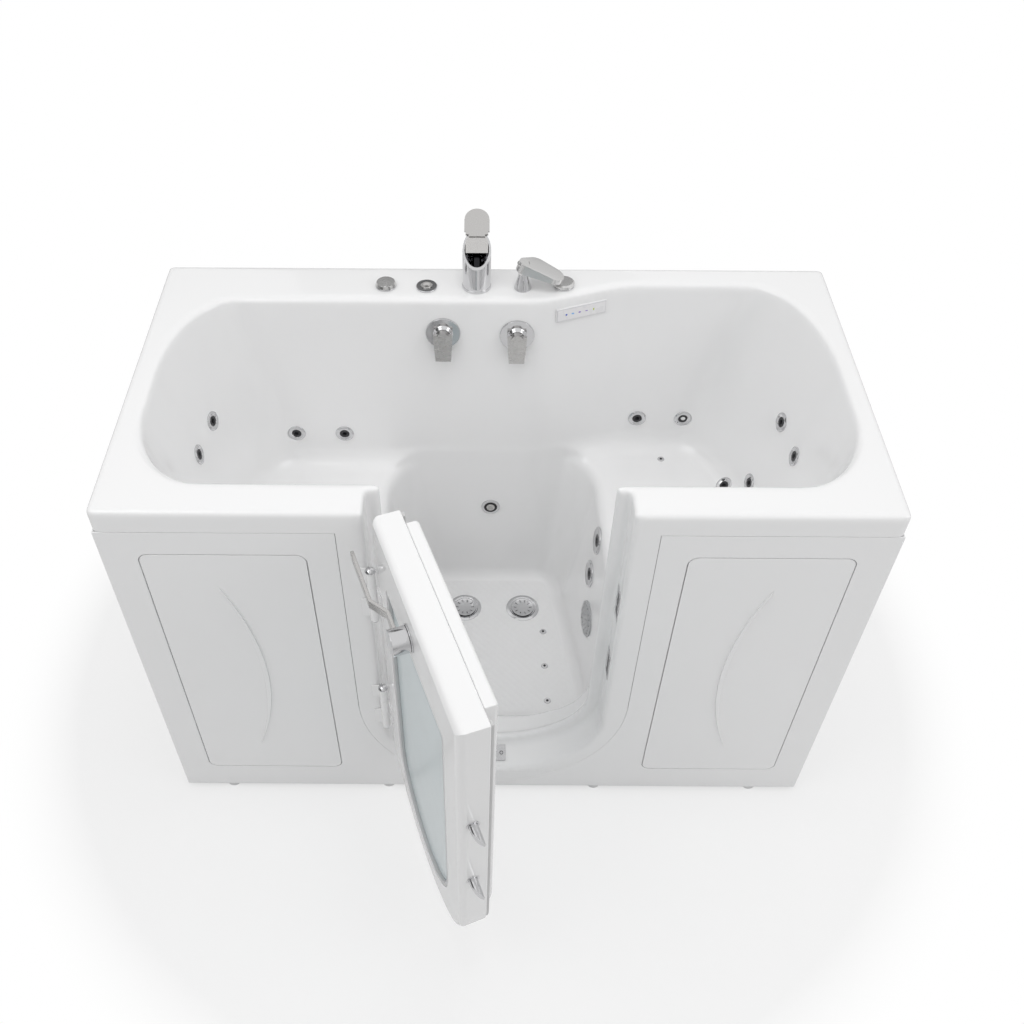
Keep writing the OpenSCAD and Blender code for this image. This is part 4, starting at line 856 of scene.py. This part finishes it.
# weld beads round both ends of every upright of the frame
weld = {"radius": 2.2, "fromEnd": 1}
beads = []
for upright in looseParts("frame_uprights"):
    low, high = extent(upright)
    x, y, diagonal = (low.x + high.x) / 2, (low.y + high.y) / 2, (high.x - low.x) / 2 * math.sqrt(2)
    for z in (low.z + weld["fromEnd"], high.z - weld["fromEnd"]):
        bpy.ops.mesh.primitive_torus_add(major_segments=4, minor_segments=10, major_radius=diagonal * mm,
                                         minor_radius=weld["radius"] * mm, location=Vector((x, y, z)) * mm,
                                         rotation=(0, 0, math.radians(45)))
        bpy.ops.object.transform_apply()
        beads.append(bpy.context.object)
    bpy.data.objects.remove(upright)
dress(rounded(joined("weldBeads", beads)), "tub", "frame_metal", look="weld")
print("fittings made")

# the eye: its place in mm, its angles in degrees, its lens in mm and its shift
sight = {"place": (-38, -1728, 2445), "pitch": 47.33, "yaw": -0.17, "roll": 0.24, "lens": 37.58,
         "shift": (0.0355, 0.0071)}


def camera():
    bpy.ops.object.camera_add()
    eye = bpy.context.object
    pitch, yaw, roll = (math.radians(sight[key]) for key in ("pitch", "yaw", "roll"))
    forward = Vector((math.sin(yaw) * math.cos(pitch), math.cos(yaw) * math.cos(pitch), -math.sin(pitch)))
    level = Vector((math.cos(yaw), -math.sin(yaw), 0))
    up = level.cross(forward)
    right = level * math.cos(roll) + up * math.sin(roll)
    tilted = up * math.cos(roll) - level * math.sin(roll)
    matrix = Matrix((right, tilted, -forward)).transposed().to_4x4()
    matrix.translation = Vector(sight["place"]) * mm
    eye.matrix_world = matrix
    eye.data.lens = sight["lens"]
    eye.data.shift_x, eye.data.shift_y = sight["shift"]
    bpy.context.scene.camera = eye


def lamp(name, place, target, size, watts, mirrored=True):
    bpy.ops.object.light_add(type="AREA", location=place)
    light = bpy.context.object
    light.name = name
    light.rotation_euler = (Vector(target) - Vector(place)).to_track_quat("-Z", "Y").to_euler()
    light.data.shape, light.data.size, light.data.energy = "SQUARE", size, watts
    light.visible_glossy = mirrored


camera()
lamp("keyLight", (-1.8, -1.2, 3.4), (0, 0, 0.5), 1.8, 17)
lamp("topLight", (0.05, -0.55, 3.7), (0, -0.05, 0.1), 1.1, 19, mirrored=False)
lamp("sideLight", (2.6, -1.2, 2.6), (0, 0, 0.5), 1.6, 14)
lamp("backLight", (0.4, 2.6, 3.0), (0, 0, 0.6), 2.0, 9, mirrored=False)

# floor that keeps the shadow near the tub and goes white for the camera further out
paper = {"size": 40, "color": (0.86, 0.86, 0.86), "whiteFrom": 0.85, "whiteAt": 1.3, "leastWhite": 0.6}
bpy.ops.mesh.primitive_plane_add(size=paper["size"])
floor = bpy.context.object
floor.name = "floor"
finish = Finish("floorMaterial", Base_Color=paper["color"], Roughness=0.6)
away = finish.node("VectorMath", {"operation": "LENGTH"}, output=1, i0=finish.place)
whiter = finish.node("MapRange", {"interpolation_type": "SMOOTHSTEP"}, Value=away,
                     From_Min=paper["whiteFrom"], From_Max=paper["whiteAt"])
whiter = whiter.maths("MAXIMUM", paper["leastWhite"])
byCamera = finish.node("LightPath", {}, output="Is Camera Ray")
white = finish.node("Emission", {}, Color=(1, 1, 1), Strength=1.0)
plain = Socket(finish.tree, finish.shader.outputs[0])
blend = finish.node("MixShader", {}, i0=whiter * byCamera, i1=plain, i2=white)
feed(finish.tree, finish.tree.nodes["Material Output"].inputs[0], blend)
floor.data.materials.append(finish.material)

# world: reflections see a white ceiling, grey walls and a few dark cards, and the camera sees plain white
studio = {"diffuse": 0.58, "mirrored": 0.78, "wallSlope": 1.1, "wallLow": 0.55, "wallTop": 1.15,
          "wallBlend": 0.3, "cardEdge": 0.72, "cardLow": 0.02, "cardHigh": 0.6, "cardShade": 0.8}
world = bpy.data.worlds.new("studio")
bpy.context.scene.world = world
world.use_nodes = True
tree = world.node_tree
path = tree.nodes.new("ShaderNodeLightPath")
toSky = tree.nodes.new("ShaderNodeTexCoord")
split = tree.nodes.new("ShaderNodeSeparateXYZ")
tree.links.new(toSky.outputs["Generated"], split.inputs[0])
across, along, height = (Socket(tree, output) for output in split.outputs)
cards = (across * 5 + along * 2).maths("SINE") > studio["cardEdge"]
cards = cards * (height < studio["cardHigh"]) * (height > studio["cardLow"])
walls = height * studio["wallSlope"] + studio["wallLow"]
walls = walls.maths("SMOOTH_MIN", studio["wallTop"], studio["wallBlend"])
walls = walls * (1 - cards * studio["cardShade"])
mirrored, byCamera = (Socket(tree, path.outputs[name]) for name in ("Is Glossy Ray", "Is Camera Ray"))
strength = mirrored * walls * studio["mirrored"] + (1 - mirrored) * studio["diffuse"]
tree.nodes["Background"].inputs["Color"].default_value = (1, 1, 1, 1)
feed(tree, tree.nodes["Background"].inputs["Strength"], strength * (1 - byCamera) + byCamera)

scene = bpy.context.scene
scene.render.resolution_x = scene.render.resolution_y = 1024
scene.view_settings.view_transform = "Standard"
